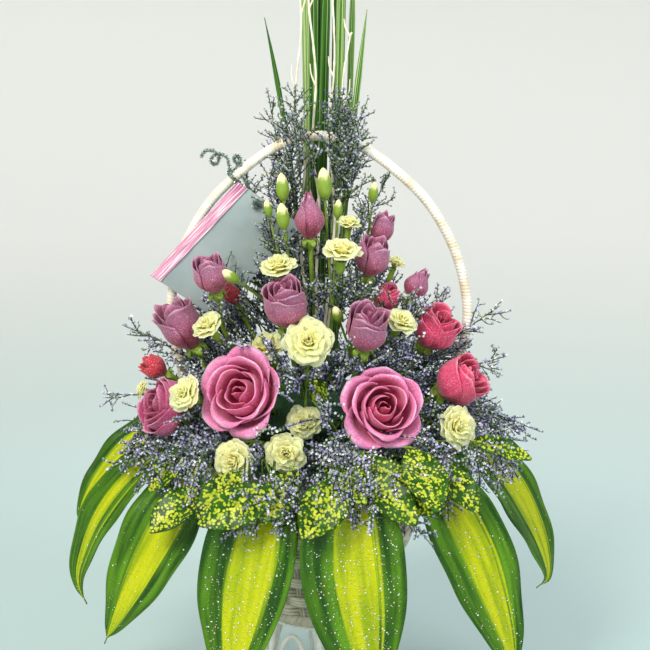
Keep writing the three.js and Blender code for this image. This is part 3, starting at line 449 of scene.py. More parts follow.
@dataclass(frozen=True)
class Finish:
    """A surface: its shader's fixed numbers, and a graph for its colour and relief."""

    name: str
    roughness: float = 0.6
    ior: float = 1.45
    metallic: float = 0.0
    sheen: float = 0.0
    glow: float = 0.0
    glow_mm: float = 2.5
    specular: float = 0.5

    def material(self) -> bpy.types.Material:
        """Makes the material once, and finds it again after that.

        Returns:
            The finish as a Blender material.
        """
        found = bpy.data.materials.get(self.name)
        if found is not None:
            return found
        material = bpy.data.materials.new(self.name)
        material.use_nodes = True
        tree = material.node_tree
        shader = next(n for n in tree.nodes if n.type == "BSDF_PRINCIPLED")
        shader.inputs["Roughness"].default_value = self.roughness
        shader.inputs["IOR"].default_value = self.ior
        shader.inputs["Metallic"].default_value = self.metallic
        shader.inputs["Specular IOR Level"].default_value = self.specular
        if self.sheen:
            shader.inputs["Sheen Weight"].default_value = self.sheen
        if self.glow:
            # Light passes through thin petals and comes out warmer.
            shader.inputs["Subsurface Weight"].default_value = self.glow
            shader.inputs["Subsurface Radius"].default_value = (1.0, 0.7, 0.6)
            shader.inputs["Subsurface Scale"].default_value = self.glow_mm * MM
        self.paint(Graph(tree, shader))
        return material

    def paint(self, graph: Graph) -> None:
        """Links the colour and the relief to the shader. Each finish has its own."""
        raise NotImplementedError


@dataclass(frozen=True)
class PetalVelvet(Finish):
    """Living petal skin: velvety cells scatter the light, fine veins run up to a paler rim."""

    foot: str = "#981440"
    body: str = "#9c587c"
    rim: str = "#b98aa6"
    heart: str = "#93305e"
    # Pale specks of painted highlight, where dewdrops would catch the light.
    painted_dew_glint: str = "#f6e3ec"
    veins: float = 26.0
    patch_mm: float = 6.0
    drop_mm: float = 0.75

    def paint(self, graph: Graph) -> None:
        """Colours a petal from foot to rim, deeper towards the heart, with faint veins and painted highlights
        where dewdrops would catch the light.

        Args:
            graph: The material's nodes.
        """
        tone = graph.tone()
        _, along, depth, _ = tone
        place = graph.add(Kind.PLACE)
        stops = ((0.3, self.foot), (0.8, self.body), (0.92, self.body), (1.0, self.rim))
        base = graph.add(Kind.RAMP, along, stops=stops)
        deep = graph.add(Kind.RANGE, depth, 0.0, 0.85, 0.85, 0.0)
        inner = graph.add(Kind.MIX, deep, base, srgb(self.heart))
        veins = graph.strips(tone, self.veins, 2.0)
        shade = graph.add(Kind.RANGE, veins, 0.3, 0.7, 0.82, 1.1)
        tinted = graph.add(Kind.TINT, 1.0, inner, shade)
        patch = graph.add(Kind.NOISE, place, pattern(self.patch_mm), 2.0)
        spread = graph.add(Kind.RANGE, patch, 0.3, 0.75, 0.0, 0.22)
        bloom = graph.add(Kind.MIX, spread, tinted, srgb(self.rim))
        # Painted highlight: small pale specks stand for light caught by dewdrops.
        wet = graph.add(Kind.NOISE, place, pattern(self.drop_mm), 0.0)
        drops = graph.add(Kind.RANGE, wet, 0.66, 0.72, 0.0, 0.45)
        graph.cover(graph.add(Kind.MIX, drops, bloom, srgb(self.painted_dew_glint)), veins, 0.4, 0.35)


@dataclass(frozen=True)
class FrillPetal(Finish):
    """Carnation petal: thin, papery and pale at the frilled edge, yellower at the throat, with painted shade
    in its creases.
    """

    throat: str = "#f0e750"
    body: str = "#fbf47e"
    rim: str = "#fefaa8"
    creases: float = 18.0

    def paint(self, graph: Graph) -> None:
        """Colours a petal from throat to rim with fine creases that fan out, painted darker in their hollows
        and lighter on their ridges as shade and highlight.

        Args:
            graph: The material's nodes.
        """
        tone = graph.tone()
        stops = ((0.0, self.throat), (0.45, self.body), (0.85, self.rim), (1.0, self.rim))
        base = graph.add(Kind.RAMP, tone[1], stops=stops)
        creases = graph.strips(tone, self.creases, 1.5)
        # Painted shade and highlight: darker where the crease relief is low, lighter where it is high.
        shade = graph.add(Kind.RANGE, creases, 0.3, 0.7, 0.9, 1.04)
        graph.cover(graph.add(Kind.TINT, 1.0, base, shade), creases, 0.4, 0.35)


@dataclass(frozen=True)
class FreshStem(Finish):
    """Green stem and calyx skin: waxy, with lengthwise fibres and paler patches."""

    dark: str = "#365c14"
    light: str = "#8aa83a"
    tip: str = "#f0ecb0"
    patch_mm: float = 7.0
    # Real fibres are about 0.2 mm wide; they are drawn coarser to show.
    fibre_mm: float = 1.2

    def paint(self, graph: Graph) -> None:
        """Greens that wander along the stem, and a cream tip where the tone asks for it.

        Args:
            graph: The material's nodes.
        """
        share, _, cream, _ = graph.tone()
        place = graph.add(Kind.PLACE)
        patch = graph.add(Kind.NOISE, place, pattern(self.patch_mm), 3.0)
        green = graph.add(Kind.RAMP, patch, stops=((0.3, self.dark), (0.7, self.light)))
        lifted = graph.add(Kind.MIX, share, green, srgb(self.light))
        tipped = graph.add(Kind.MIX, cream, lifted, srgb(self.tip))
        graph.cover(tipped, graph.add(Kind.NOISE, place, pattern(self.fibre_mm), 2.0), 0.3, 0.3)


@dataclass(frozen=True)
class StripedLeaf(Finish):
    """Dracaena leaf: a leathery wet-looking skin with parallel veins and a lime band."""

    edge: str = "#184504"
    edge_light: str = "#5a8c12"
    turn: str = "#6d9808"
    band: str = "#b8bf08"
    band_deep: str = "#8aa004"
    streaks: float = 34.0
    broad_streaks: float = 9.0
    ribs: float = 70.0
    drop_mm: float = 3.0

    def paint(self, graph: Graph) -> None:
        """Paints the band by the tone's third number, with streaks that follow the veins.

        Args:
            graph: The material's nodes.
        """
        tone = graph.tone()
        across, _, off_band, seed = tone
        broad = graph.strips(tone, self.broad_streaks, 2.4)
        drift = graph.add(Kind.SCALE_ADD, graph.strips(tone, self.streaks, 1.6), 0.34, -0.17)
        share = graph.add(Kind.RANGE, graph.add(Kind.ADD, off_band, drift), 0.44, 0.54, 0.0, 1.0)
        lime = graph.add(Kind.RAMP, broad, stops=((0.35, self.band_deep), (0.6, self.band)))
        green = graph.add(Kind.RAMP, broad, stops=((0.34, self.edge), (0.72, self.edge_light)))
        inner = graph.add(Kind.MIX, share, lime, green)
        banded = graph.add(Kind.MIX, graph.add(Kind.FOLD, share, 0.5), inner, srgb(self.turn))
        # A thin second stripe runs beside the band, about a quarter of the way across.
        beside = graph.add(Kind.SCALE_ADD, seed, 0.06, 0.22)
        apart = graph.add(Kind.SIZE, graph.add(Kind.SUBTRACT, across, beside))
        stripe = graph.add(Kind.RANGE, apart, 0.006, 0.02, 0.75, 0.0)
        striped = graph.add(Kind.MIX, stripe, banded, srgb(self.band))
        wet = graph.add(Kind.NOISE, graph.add(Kind.PLACE), pattern(self.drop_mm), 1.0)
        drops = graph.add(Kind.RANGE, wet, 0.56, 0.66, 0.0, 1.0)
        height = graph.add(Kind.SCALE_ADD, graph.strips(tone, self.ribs, 0.6), 0.5, drops)
        graph.cover(striped, height, 0.9, 0.6)


@dataclass(frozen=True)
class SpeckledLeaf(Finish):
    """Gold-dust leaf: glossy green, thickly dusted with yellow spots that run together."""

    green: str = "#103307"
    green_light: str = "#2a5a0e"
    spot: str = "#93a81a"
    spot_pale: str = "#d2d448"
    spot_mm: float = 2.8
    cluster_mm: float = 5.0
    skin_mm: float = 2.5

    def paint(self, graph: Graph) -> None:
        """Spots from soft cells whose size wanders over the leaf.

        Args:
            graph: The material's nodes.
        """
        place = graph.add(Kind.PLACE)
        cells = graph.add(Kind.CELLS, place, pattern(self.spot_mm))
        wander = graph.add(Kind.NOISE, place, pattern(self.cluster_mm), 4.0)
        spread = graph.add(Kind.ADD, cells, graph.add(Kind.SCALE_ADD, wander, 1.5, -0.75))
        # The spots run together along the middle and thin out at the edges.
        away = graph.add(Kind.SIZE, graph.add(Kind.SUBTRACT, graph.tone()[0], 0.5))
        level = graph.add(Kind.SCALE_ADD, away, 0.5, spread)
        share = graph.add(Kind.RANGE, level, 0.42, 0.66, 1.0, 0.0)
        shade = graph.add(Kind.NOISE, place, pattern(12.0), 2.0)
        leaf = graph.add(Kind.RAMP, shade, stops=((0.3, self.green), (0.7, self.green_light)))
        tint = graph.add(Kind.NOISE, place, pattern(8.0), 2.0)
        dust = graph.add(Kind.RAMP, tint, stops=((0.3, self.spot), (0.8, self.spot_pale)))
        fine = graph.add(Kind.NOISE, place, pattern(self.skin_mm), 2.0)
        graph.cover(graph.add(Kind.MIX, share, leaf, dust), fine, 0.4, 0.4)


@dataclass(frozen=True)
class GrassSkin(Finish):
    """Long grass blade: smooth skin with close parallel veins, dark with lighter lengths."""

    dark: str = "#0f3008"
    mid: str = "#3f7422"
    light: str = "#b7cd8a"
    veins: float = 22.0

    def paint(self, graph: Graph) -> None:
        """Greens by strips along the blade.

        Args:
            graph: The material's nodes.
        """
        tone = graph.tone()
        level = graph.add(Kind.ADD, graph.strips(tone, 7.0, 2.0), tone[2])
        stops = ((0.35, self.dark), (0.6, self.mid), (0.9, self.light))
        graph.cover(graph.add(Kind.RAMP, level, stops=stops), graph.strips(tone, self.veins, 0.5), 0.4, 0.5)


@dataclass(frozen=True)
class PaperFloret(Finish):
    """Papery sea lavender florets and their wiry stems, by the tone: lilac, white or green."""

    bud: str = "#9db08b"
    lilac: str = "#c1bfe6"
    # The darkest lilac: florets take it by chance, and deep in the mass as painted shade.
    deep: str = "#525086"
    white: str = "#fafafd"
    # Near black: the stems' dark green, deepened as painted shade for the gaps in the mass.
    stem: str = "#152b0d"
    stem_light: str = "#52702f"
    stem_mm: float = 5.0
    crinkle_mm: float = 1.0

    def paint(self, graph: Graph) -> None:
        """The first number picks deep lilac to white: partly by chance, partly as painted shade deep in the
        mass. The second picks stem, the third a closed floret.

        Args:
            graph: The material's nodes.
        """
        pale, green, closed, _ = graph.tone()
        place = graph.add(Kind.PLACE)
        opened = graph.add(Kind.RAMP, pale, stops=((0.0, self.deep), (0.45, self.lilac), (1.0, self.white)))
        floret = graph.add(Kind.MIX, closed, opened, srgb(self.bud))
        patch = graph.add(Kind.NOISE, place, pattern(self.stem_mm), 2.0)
        wire = graph.add(Kind.RAMP, patch, stops=((0.35, self.stem), (0.7, self.stem_light)))
        crinkle = graph.add(Kind.NOISE, place, pattern(self.crinkle_mm), 2.0)
        graph.cover(graph.add(Kind.MIX, green, floret, wire), crinkle, 0.3, 0.4)


@dataclass(frozen=True)
class RattanWeave(Finish):
    """Bleached rattan: matt split core with fine fibres, painted greyer in the gaps as shade."""

    light: str = "#d6d0bf"
    dark: str = "#8f866f"
    patch_mm: float = 10.0
    # Real fibres are about 0.3 mm wide; they are drawn coarser to show.
    fibre_mm: float = 0.9

    def paint(self, graph: Graph) -> None:
        """Bleached tan with patches, and painted shade that darkens it in the grooves, by the tone.

        Args:
            graph: The material's nodes.
        """
        height, place = graph.tone()[0], graph.add(Kind.PLACE)
        patch = graph.add(Kind.NOISE, place, pattern(self.patch_mm), 4.0)
        level = graph.add(Kind.SCALE_ADD, patch, 0.6, height)
        colour = graph.add(Kind.RAMP, level, stops=((0.25, self.dark), (0.75, self.light)))
        graph.cover(colour, graph.add(Kind.NOISE, place, pattern(self.fibre_mm), 3.0), 0.3, 0.6)


@dataclass(frozen=True)
class WoundCane(Finish):
    """Flat white cane wound round the handle: smooth strips with a thin shadow between turns."""

    strip: str = "#f1ece0"
    stain: str = "#d8c9a6"
    painted_gap_shadow: str = "#a08a66"
    stain_mm: float = 14.0
    fibre_mm: float = 0.8

    def paint(self, graph: Graph) -> None:
        """White strips, stained in places, and a brown painted shadow in the gap between two turns.

        Args:
            graph: The material's nodes.
        """
        height, place = graph.tone()[0], graph.add(Kind.PLACE)
        patch = graph.add(Kind.NOISE, place, pattern(self.stain_mm), 3.0)
        strip = graph.add(Kind.RAMP, patch, stops=((0.45, self.strip), (0.75, self.stain)))
        # Painted shadow: the groove between two turns turns brown.
        share = graph.add(Kind.RANGE, height, 0.05, 0.45, 1.0, 0.0)
        fibres = graph.add(Kind.NOISE, place, pattern(self.fibre_mm), 2.0)
        graph.cover(graph.add(Kind.MIX, share, strip, srgb(self.painted_gap_shadow)), fibres, 0.2, 0.4)


@dataclass(frozen=True)
class PlainSurface(Finish):
    """A made surface of one material: its colour wanders a little over a fine grain."""

    light: str = "#f4f3ee"
    dark: str = "#dcdad2"
    patch_mm: float = 12.0
    grain_mm: float = 0.8
    grain_depth_mm: float = 0.1

    def paint(self, graph: Graph) -> None:
        """Two close colours in patches, and a fine grain.

        Args:
            graph: The material's nodes.
        """
        place = graph.add(Kind.PLACE)
        patch = graph.add(Kind.NOISE, place, pattern(self.patch_mm), 3.0)
        colour = graph.add(Kind.RAMP, patch, stops=((0.3, self.dark), (0.7, self.light)))
        fine = graph.add(Kind.NOISE, place, pattern(self.grain_mm), 2.0)
        graph.cover(colour, fine, self.grain_depth_mm, 0.5)


@dataclass(frozen=True)
class SweepPaint(Finish):
    """Matt wall paint, rolled on, with painted shade: blue-grey and darker near the floor, pale warm grey
    high up.
    """

    floor: str = "#a9bfbe"
    near: str = "#b5c3c1"
    bend: str = "#cbd0cd"
    wall: str = "#dbddda"
    high: str = "#ecefec"
    roller_mm: float = 3.0

    def paint(self, graph: Graph) -> None:
        """Fades by the tone, over the roller's fine grain.

        Args:
            graph: The material's nodes.
        """
        stops = ((0.0, self.floor), (0.13, self.near), (0.35, self.bend), (0.54, self.wall), (1.0, self.high))
        fade = graph.add(Kind.RAMP, graph.tone()[0], stops=stops)
        roller = graph.add(Kind.NOISE, graph.add(Kind.PLACE), pattern(self.roller_mm), 2.0)
        graph.cover(fade, roller, 0.2, 0.4)


@dataclass(frozen=True)
class PorousFoam(Finish):
    """Soaked phenolic foam: crumbly open cells, damp, and painted darker in the pores as shade."""

    light: str = "#3f6b45"
    dark: str = "#17321f"
    stain_mm: float = 20.0
    # Real pores are a few tenths of a millimetre; they are drawn coarser to show.
    pore_mm: float = 1.6

    def paint(self, graph: Graph) -> None:
        """Pores from small cells, painted darker as shade, over a broad damp stain.

        Args:
            graph: The material's nodes.
        """
        place = graph.add(Kind.PLACE)
        cells = graph.add(Kind.CELLS, place, pattern(self.pore_mm))
        stain = graph.add(Kind.NOISE, place, pattern(self.stain_mm), 3.0)
        # Painted shade: the pits of the pores are darker.
        level = graph.add(Kind.SCALE_ADD, cells, 0.6, stain)
        colour = graph.add(Kind.RAMP, level, stops=((0.4, self.dark), (0.95, self.light)))
        graph.cover(colour, cells, 1.2, 0.8)


@dataclass(frozen=True)
class SatinRibbon(Finish):
    """Woven polyester satin: a soft shine broken by lengthwise folds, with white streaks of painted sheen."""

    pink: str = "#d58fae"
    deep: str = "#a9527f"
    painted_shine: str = "#f3e6ea"
    # Real warp threads are about 0.1 mm apart; they are drawn coarser to show.
    threads: float = 60.0

    def paint(self, graph: Graph) -> None:
        """Pink with pale streaks of painted sheen along the ribbon, deeper at the tied end.

        Args:
            graph: The material's nodes.
        """
        tone = graph.tone()
        base = graph.add(Kind.RAMP, tone[1], stops=((0.0, self.deep), (0.16, self.pink), (1.0, self.pink)))
        # Painted highlight: pale streaks along the ribbon stand for the satin's shine.
        share = graph.add(Kind.RANGE, graph.strips(tone, 9.0, 3.0), 0.52, 0.6, 0.0, 1.0)
        with_painted_shine = graph.add(Kind.MIX, share, base, srgb(self.painted_shine))
        graph.cover(with_painted_shine, graph.strips(tone, self.threads, 2.0), 0.2, 0.3)


@dataclass(frozen=True)
class FoilFlake(Finish):
    """Cut polyester glitter: tiny mirror-bright foil flakes of silver, gold and rose."""

    silver: str = "#f6f8fa"
    gold: str = "#f2c98a"
    rose: str = "#f3b6c4"
    crease_mm: float = 0.7

    def paint(self, graph: Graph) -> None:
        """The first number picks the foil's colour.

        Args:
            graph: The material's nodes.
        """
        stops = ((0.0, self.silver), (0.6, self.silver), (0.75, self.gold), (1.0, self.rose))
        colour = graph.add(Kind.RAMP, graph.tone()[0], stops=stops)
        creases = graph.add(Kind.NOISE, graph.add(Kind.PLACE), pattern(self.crease_mm), 2.0)
        graph.cover(colour, creases, 0.1, 0.2)


# Dusky mauve roses: greyed violet skin that turns pink low on the outer petals.
MAUVE = PetalVelvet("mauve_rose_petal_grown", 0.58, sheen=0.2, glow=0.3)
# Open pink roses: cool pink with a silvery rim and a raspberry heart.
PINK = PetalVelvet(
    "pink_rose_petal_grown", 0.55, sheen=0.2, glow=0.35, glow_mm=4.0,
    foot="#c02a68", body="#e070a6", rim="#f3b1d2", heart="#d61a64", veins=30.0,
)
# A darker open rose at the left: deep cool pink with a crimson heart.
DEEP_PINK = PetalVelvet(
    "deep_pink_rose_petal_grown", 0.55, sheen=0.2, glow=0.3,
    foot="#9c1446", body="#c04a80", rim="#d88db4", heart="#8a0c38", veins=30.0,
)
# Hot pink roses: saturated rose red that glows at the rims.
HOT = PetalVelvet(
    "hot_pink_rose_petal_grown", 0.55, sheen=0.2, glow=0.3,
    foot="#c2214f", body="#d93a6c", rim="#e9769a", heart="#a81240",
)
# Small crimson buds: deep red, barely lighter at the rim.
CRIMSON = PetalVelvet(
    "crimson_rose_petal_grown", 0.5, sheen=0.2, glow=0.3,
    foot="#9d0f26", body="#c61f38", rim="#dd4a58", heart="#7d0a1d",
)
# Cream yellow spray carnations: translucent thin frills.
CREAM = FrillPetal("cream_carnation_petal_grown", 0.65, sheen=0.1, glow=0.75, glow_mm=6.0)
# Cut green stems: waxy and slightly shiny.
GREEN_STEM = FreshStem("cut_green_stem_grown", 0.45)
# Striped dracaena: leathery and wet, so highlights run along it.
STRIPED = StripedLeaf("striped_dracaena_leaf_grown", 0.27, ior=1.4, specular=0.35)
# Gold-dust leaves: glossy and thickly spotted.
SPECKLED = SpeckledLeaf("gold_dust_leaf_grown", 0.35, ior=1.4, specular=0.3)
# Lily grass: dark satin blades.
GRASS = GrassSkin("lily_grass_blade_grown", 0.42, ior=1.4, specular=0.3)
# Sea lavender: dry papery florets on wiry stems.
LILAC = PaperFloret("sea_lavender_paper_grown", 0.8, glow=0.2, specular=0.3)
# Bleached split rattan, woven by hand: matt, with lighter and darker lengths.
RATTAN = RattanWeave("bleached_rattan_woven", 0.72)
# White flat cane, wound wet round a core: smooth, with a soft shine on every turn.
CANE = WoundCane("white_flat_cane_wound", 0.42)
# White plastic-coated wire, dipped after welding, so corners are filled and soft.
COATED_WIRE = PlainSurface(
    "white_coated_wire_dipped", 0.38, light="#f3f2ec", dark="#dedbd0",
    patch_mm=18.0, grain_mm=1.5, grain_depth_mm=0.12,
)
# Bleached willow: dull ivory bark with small scars.
WILLOW_BARK = PlainSurface(
    "bleached_willow_peeled", 0.7, light="#f7f3e6", dark="#d9cfb4",
    patch_mm=9.0, grain_mm=1.2, grain_depth_mm=0.25,
)
# Uncoated pale card stock, cut from a sheet: dull, with a soft tooth.
CARD_STOCK = PlainSurface(
    "blue_grey_card_stock_cut", 0.72, light="#9fadae", dark="#879798",
    patch_mm=45.0, grain_mm=0.6, grain_depth_mm=0.05,
)
# Pink polyester satin, woven narrow: a soft shine along its threads.
SATIN = SatinRibbon("pink_satin_ribbon_woven", 0.35, sheen=0.5)
# Tinsel: slit foil twisted between two wires, which glints grey green.
TINSEL_FOIL = FoilFlake(
    "green_grey_tinsel_slit", 0.28, metallic=0.75, silver="#9fb0a6", gold="#6f7f74", rose="#c2cdc8"
)
# Glitter sprinkled on the wet leaves: each flake flashes by its own lean.
GLITTER = FoilFlake("craft_glitter_cut", 0.35, metallic=0.25)
# Soaked floral foam, cut from a block: dull, dark and open-celled.
FOAM = PorousFoam("floral_foam_cut", 0.92)
# Dark green waterproof film, pressed into the basket: slightly shiny, with soft creases.
LINER_FILM = PlainSurface(
    "green_liner_film_pressed", 0.4, light="#32453a", dark="#223028",
    patch_mm=20.0, grain_mm=2.0, grain_depth_mm=0.3,
)
# Pale painted floor and wall of the studio, with painted shade: darker and bluer towards the floor.
STUDIO_PAINT = SweepPaint("studio_wall_rolled", 0.9)


# ---- stand, basket and handle -----------------------------------------------------------------


@dataclass
class WireStand:
    """Two rings joined by legs and hoops of thick coated wire."""

    height: float = 104.7
    base_radius: float = 68.0
    top_radius: float = 50.0
    wire: float = 3.6
    legs: int = 6
    hoop_height: float = 90.0
    hoop_span: float = 0.8
    steps: int = 26

    def place(self, turn: np.ndarray, z: np.ndarray) -> np.ndarray:
        """Points on the stand's cone, by their turn and height."""
        return polar(self.base_radius + (self.top_radius - self.base_radius) * z / self.height, turn, z)

    def build(self) -> bpy.types.Object:
        """Makes the stand's wires.

        Returns:
            The finished stand.
        """
        skin = Skin()
        top = self.height - self.wire
        for radius, z in ((self.base_radius, self.wire), (self.top_radius, top)):
            skin.tube(polar(radius, np.linspace(0, TAU, 97), z), self.wire, 14, EVEN)
        for k in range(self.legs):
            turn = -math.pi / 2 + TAU * k / self.legs
            skin.tube(self.place(turn, np.linspace(self.wire, top, 6)), self.wire * 0.95, 12, EVEN)
            swing = np.linspace(0, math.pi, self.steps)
            reach = (math.pi / self.legs) * (1 - self.hoop_span * np.cos(swing))
            rise = self.wire + (self.hoop_height - self.wire) * np.sin(swing)
            skin.tube(self.place(turn + reach, rise), self.wire * 0.65, 10, EVEN)
        return settle(skin.build("wire_stand", [COATED_WIRE]), "stand")


@dataclass
class WovenBasket:
    """Tapered basket of round rattan woven in front of and behind its stakes."""

    floor_z: float = 105.0
    rim_z: float = 272.0
    base_radius: float = 57.0
    rim_radius: float = 130.0
    rim_height: float = 280.0
    braid: float = 8.0
    foot_border: float = 14.0
    stakes: int = 24
    stake: float = 1.35
    bands: int = 12
    weavers: int = 3
    weaver: float = 2.15
    swing: float = 1.8

    def radius(self, z: np.ndarray) -> np.ndarray:
        """The wall's radius at a height."""
        share = np.clip((z - self.floor_z) / (self.rim_height - self.floor_z), 0, 1)
        return self.base_radius + (self.rim_radius - self.base_radius) * share**0.9

    def weave(self, skin: Skin) -> None:
        """Adds the bands of weavers, which pass in front of and behind the stakes.

        Args:
            skin: The piece that they go into.
        """
        turn = np.linspace(0, TAU, self.stakes * 9 + 1)
        low = self.floor_z + self.foot_border
        pitch = (self.rim_z - self.braid - low) / (self.bands * self.weavers)
        for row in range(self.bands * self.weavers):
            band = row // self.weavers
            z = low + (row + 0.5) * pitch
            wave = np.cos(self.stakes / 2 * (turn + math.pi / 2) + band * math.pi)
            over = np.tanh(1.7 * wave) / math.tanh(1.7)
            reach = self.radius(np.array(z)) + self.swing * over - self.weaver
            line = polar(reach, turn, z + 0.35 * np.sin(7 * turn + row))
            # The tone paints shade: a weaver is darker where it passes behind a stake, lighter in front of
            # one.
            skin.tube(line, self.weaver, 8, tones_on(line, 0.2 + 0.16 * over, 0, 0, (row * 0.37) % 1))

    def stand_stakes(self, skin: Skin) -> None:
        """Adds the paired stakes.

        Args:
            skin: The piece that they go into.
        """
        z = np.linspace(self.floor_z + 2, self.rim_z, 14)
        reach = self.radius(z) - 2.0
        for k in range(self.stakes):
            # Stakes take a darker tone, as painted shade among the weavers.
            tone = np.array([0.12, 0, 0, k / self.stakes])
            for side in (-1, 1):
                turn = -math.pi / 2 + TAU * k / self.stakes + side * self.stake / reach
                skin.tube(polar(reach, turn, z), self.stake, 7, tone)

    def rope(self, skin: Skin, radius: float, z: float, size: float, turns: int) -> None:
        """Adds a braid of three strands round the basket.

        Args:
            skin: The piece that it goes into.
            radius: Radius of the braid's middle.
            z: Height of the braid's middle.
            size: Radius of the whole braid.
            turns: How often a strand goes round the braid.
        """
        turn = np.linspace(0, TAU, 421)
        for strand in range(3):
            twist = turns * turn + strand * TAU / 3
            line = polar(radius + 0.48 * size * np.cos(twist), turn, z + 0.48 * size * np.sin(twist))
            # Painted light from above: each strand is lighter high in the braid and darker low.
            skin.tube(line, 0.52 * size, 10, tones_on(line, 0.25 + 0.15 * np.sin(twist)))

    def floor(self, skin: Skin) -> None:
        """Adds the woven floor as rings of rattan.

        Args:
            skin: The piece that it goes into.
        """
        turn = np.linspace(0, TAU, 73)
        for row in range(13):
            wave = np.cos(12 * turn + (row % 2) * math.pi)
            line = polar(4 + row * 4.2, turn, self.floor_z + 2.7 + 0.6 * wave)
            skin.tube(line, 2.1, 6, np.array([0.15, 0, 0, 0.5]))

    def build(self) -> bpy.types.Object:
        """Makes the basket.

        Returns:
            The finished basket.
        """
        skin = Skin()
        self.weave(skin)
        self.stand_stakes(skin)
        self.floor(skin)
        self.rope(skin, self.rim_radius, self.rim_z, self.braid, 40)
        half = self.foot_border / 2
        edge = self.radius(np.array(self.floor_z + self.foot_border)) + 0.4
        self.rope(skin, edge - half, self.floor_z + half + 0.1, half, 22)
        return settle(skin.build("woven_basket", [RATTAN]), "basket")


@dataclass
class WoundHandle:
    """Arched handle: a cane core wound closely with flat cane."""

    radius: float = 4.6
    pitch: float = 3.4
    relief: float = 0.4
    sides: int = 18
    apex: float = 591.5
    # X and Z of its right half, from the foot up.
    half: tuple[tuple[float, float], ...] = (
        (130, 267.3), (131, 300), (138, 357), (147, 398), (147, 430), (138, 469), (123, 502),
        (104, 530), (78, 555), (50, 576), (24, 588),
    )

    def line(self, count: int) -> np.ndarray:
        """Points along the handle's middle, from its right foot to its left one."""
        left = [(-x, 0, z) for x, z in reversed(self.half)]
        return spline([*((x, 0, z) for x, z in self.half), (0, 0, self.apex), *left], count)

    def build(self) -> bpy.types.Object:
        """Makes the handle with its winding.

        Returns:
            The finished handle.
        """
        line = self.line(1500)
        step = np.linalg.norm(line[1] - line[0])
        side = np.arange(self.sides + 1)[None]
        run = np.arange(len(line))[:, None] * step / self.pitch + (side % self.sides) / self.sides
        crown = 1 - np.abs(2 * (run % 1) - 1) ** 5
        reach = self.radius - self.relief + 2 * self.relief * crown
        rings = Skin.rings(line, self.sides)
        grid = line[:, None] + reach[..., None] * np.concatenate([rings, rings[:, :1]], axis=1)
        tones = tones_on(grid, crown)
        skin = Skin()
        skin.sheet(grid, tones)
        skin.add(grid[0, -2::-1], fan(self.sides), tones[0, 0])
        skin.add(grid[-1, :-1], fan(self.sides), tones[0, 0])
        return settle(skin.build("wound_handle", [CANE]), "handle")


def dress_filling() -> None:
    """Gives the foam and its liner, whose CAD shapes are right, their finishes."""
    for node, finish in (("foam", FOAM), ("liner", LINER_FILM)):
        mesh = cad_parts[node].data
        mesh.materials.clear()
        mesh.materials.append(finish.material())
        log.info("%s: dressed", node)


# ---- roses ------------------------------------------------------------------------------------


class Opening(Enum):
    """How far a rose has opened."""

    FULL = "full"
    HALF = "half"
    BARREL = "barrel"
    BUD = "bud"


@dataclass(frozen=True)
class Whorl:
    """A ring of petals. Lengths are shares of the head's radius or length."""

    petals: int
    belly: float
    rim: float
    top: float
    curl: float
    spread: float


WHORLS: dict[Opening, list[Whorl]] = {
    Opening.FULL: [
        Whorl(2, 0.17, 0.08, 0.82, 0.00, 1.60),
        Whorl(3, 0.33, 0.24, 0.87, 0.02, 1.35),
        Whorl(3, 0.50, 0.45, 0.90, 0.08, 1.32),
        Whorl(4, 0.65, 0.68, 0.82, 0.15, 1.12),
        Whorl(5, 0.76, 0.90, 0.60, 0.17, 1.00),
    ],
    Opening.HALF: [
        Whorl(2, 0.22, 0.14, 0.93, 0.00, 1.60),
        Whorl(3, 0.44, 0.36, 0.98, 0.02, 1.35),
        Whorl(3, 0.68, 0.60, 0.99, 0.05, 1.32),
        Whorl(3, 0.87, 0.80, 0.94, 0.09, 1.28),
        Whorl(2, 0.94, 0.88, 0.84, 0.12, 1.30),
    ],
    Opening.BARREL: [
        Whorl(2, 0.30, 0.18, 0.96, 0.00, 1.55),
        Whorl(3, 0.55, 0.42, 0.99, 0.01, 1.30),
        Whorl(3, 0.78, 0.62, 0.98, 0.03, 1.25),
        Whorl(3, 0.96, 0.80, 0.94, 0.06, 1.22),
    ],
    Opening.BUD: [
        Whorl(2, 0.42, 0.05, 0.97, 0.00, 1.70),
        Whorl(3, 0.70, 0.12, 1.00, 0.00, 1.45),
        Whorl(3, 0.88, 0.24, 0.96, 0.00, 1.35),
        Whorl(2, 0.98, 0.48, 0.84, 0.10, 1.15),
    ],
}


def facing(bloom: "Rose | Carnation") -> np.ndarray:
    """The way that a bloom looks: its own, or else straight away from where the stems meet."""
    return unit(np.array(bloom.face or np.array(bloom.at) - FOCUS, float))


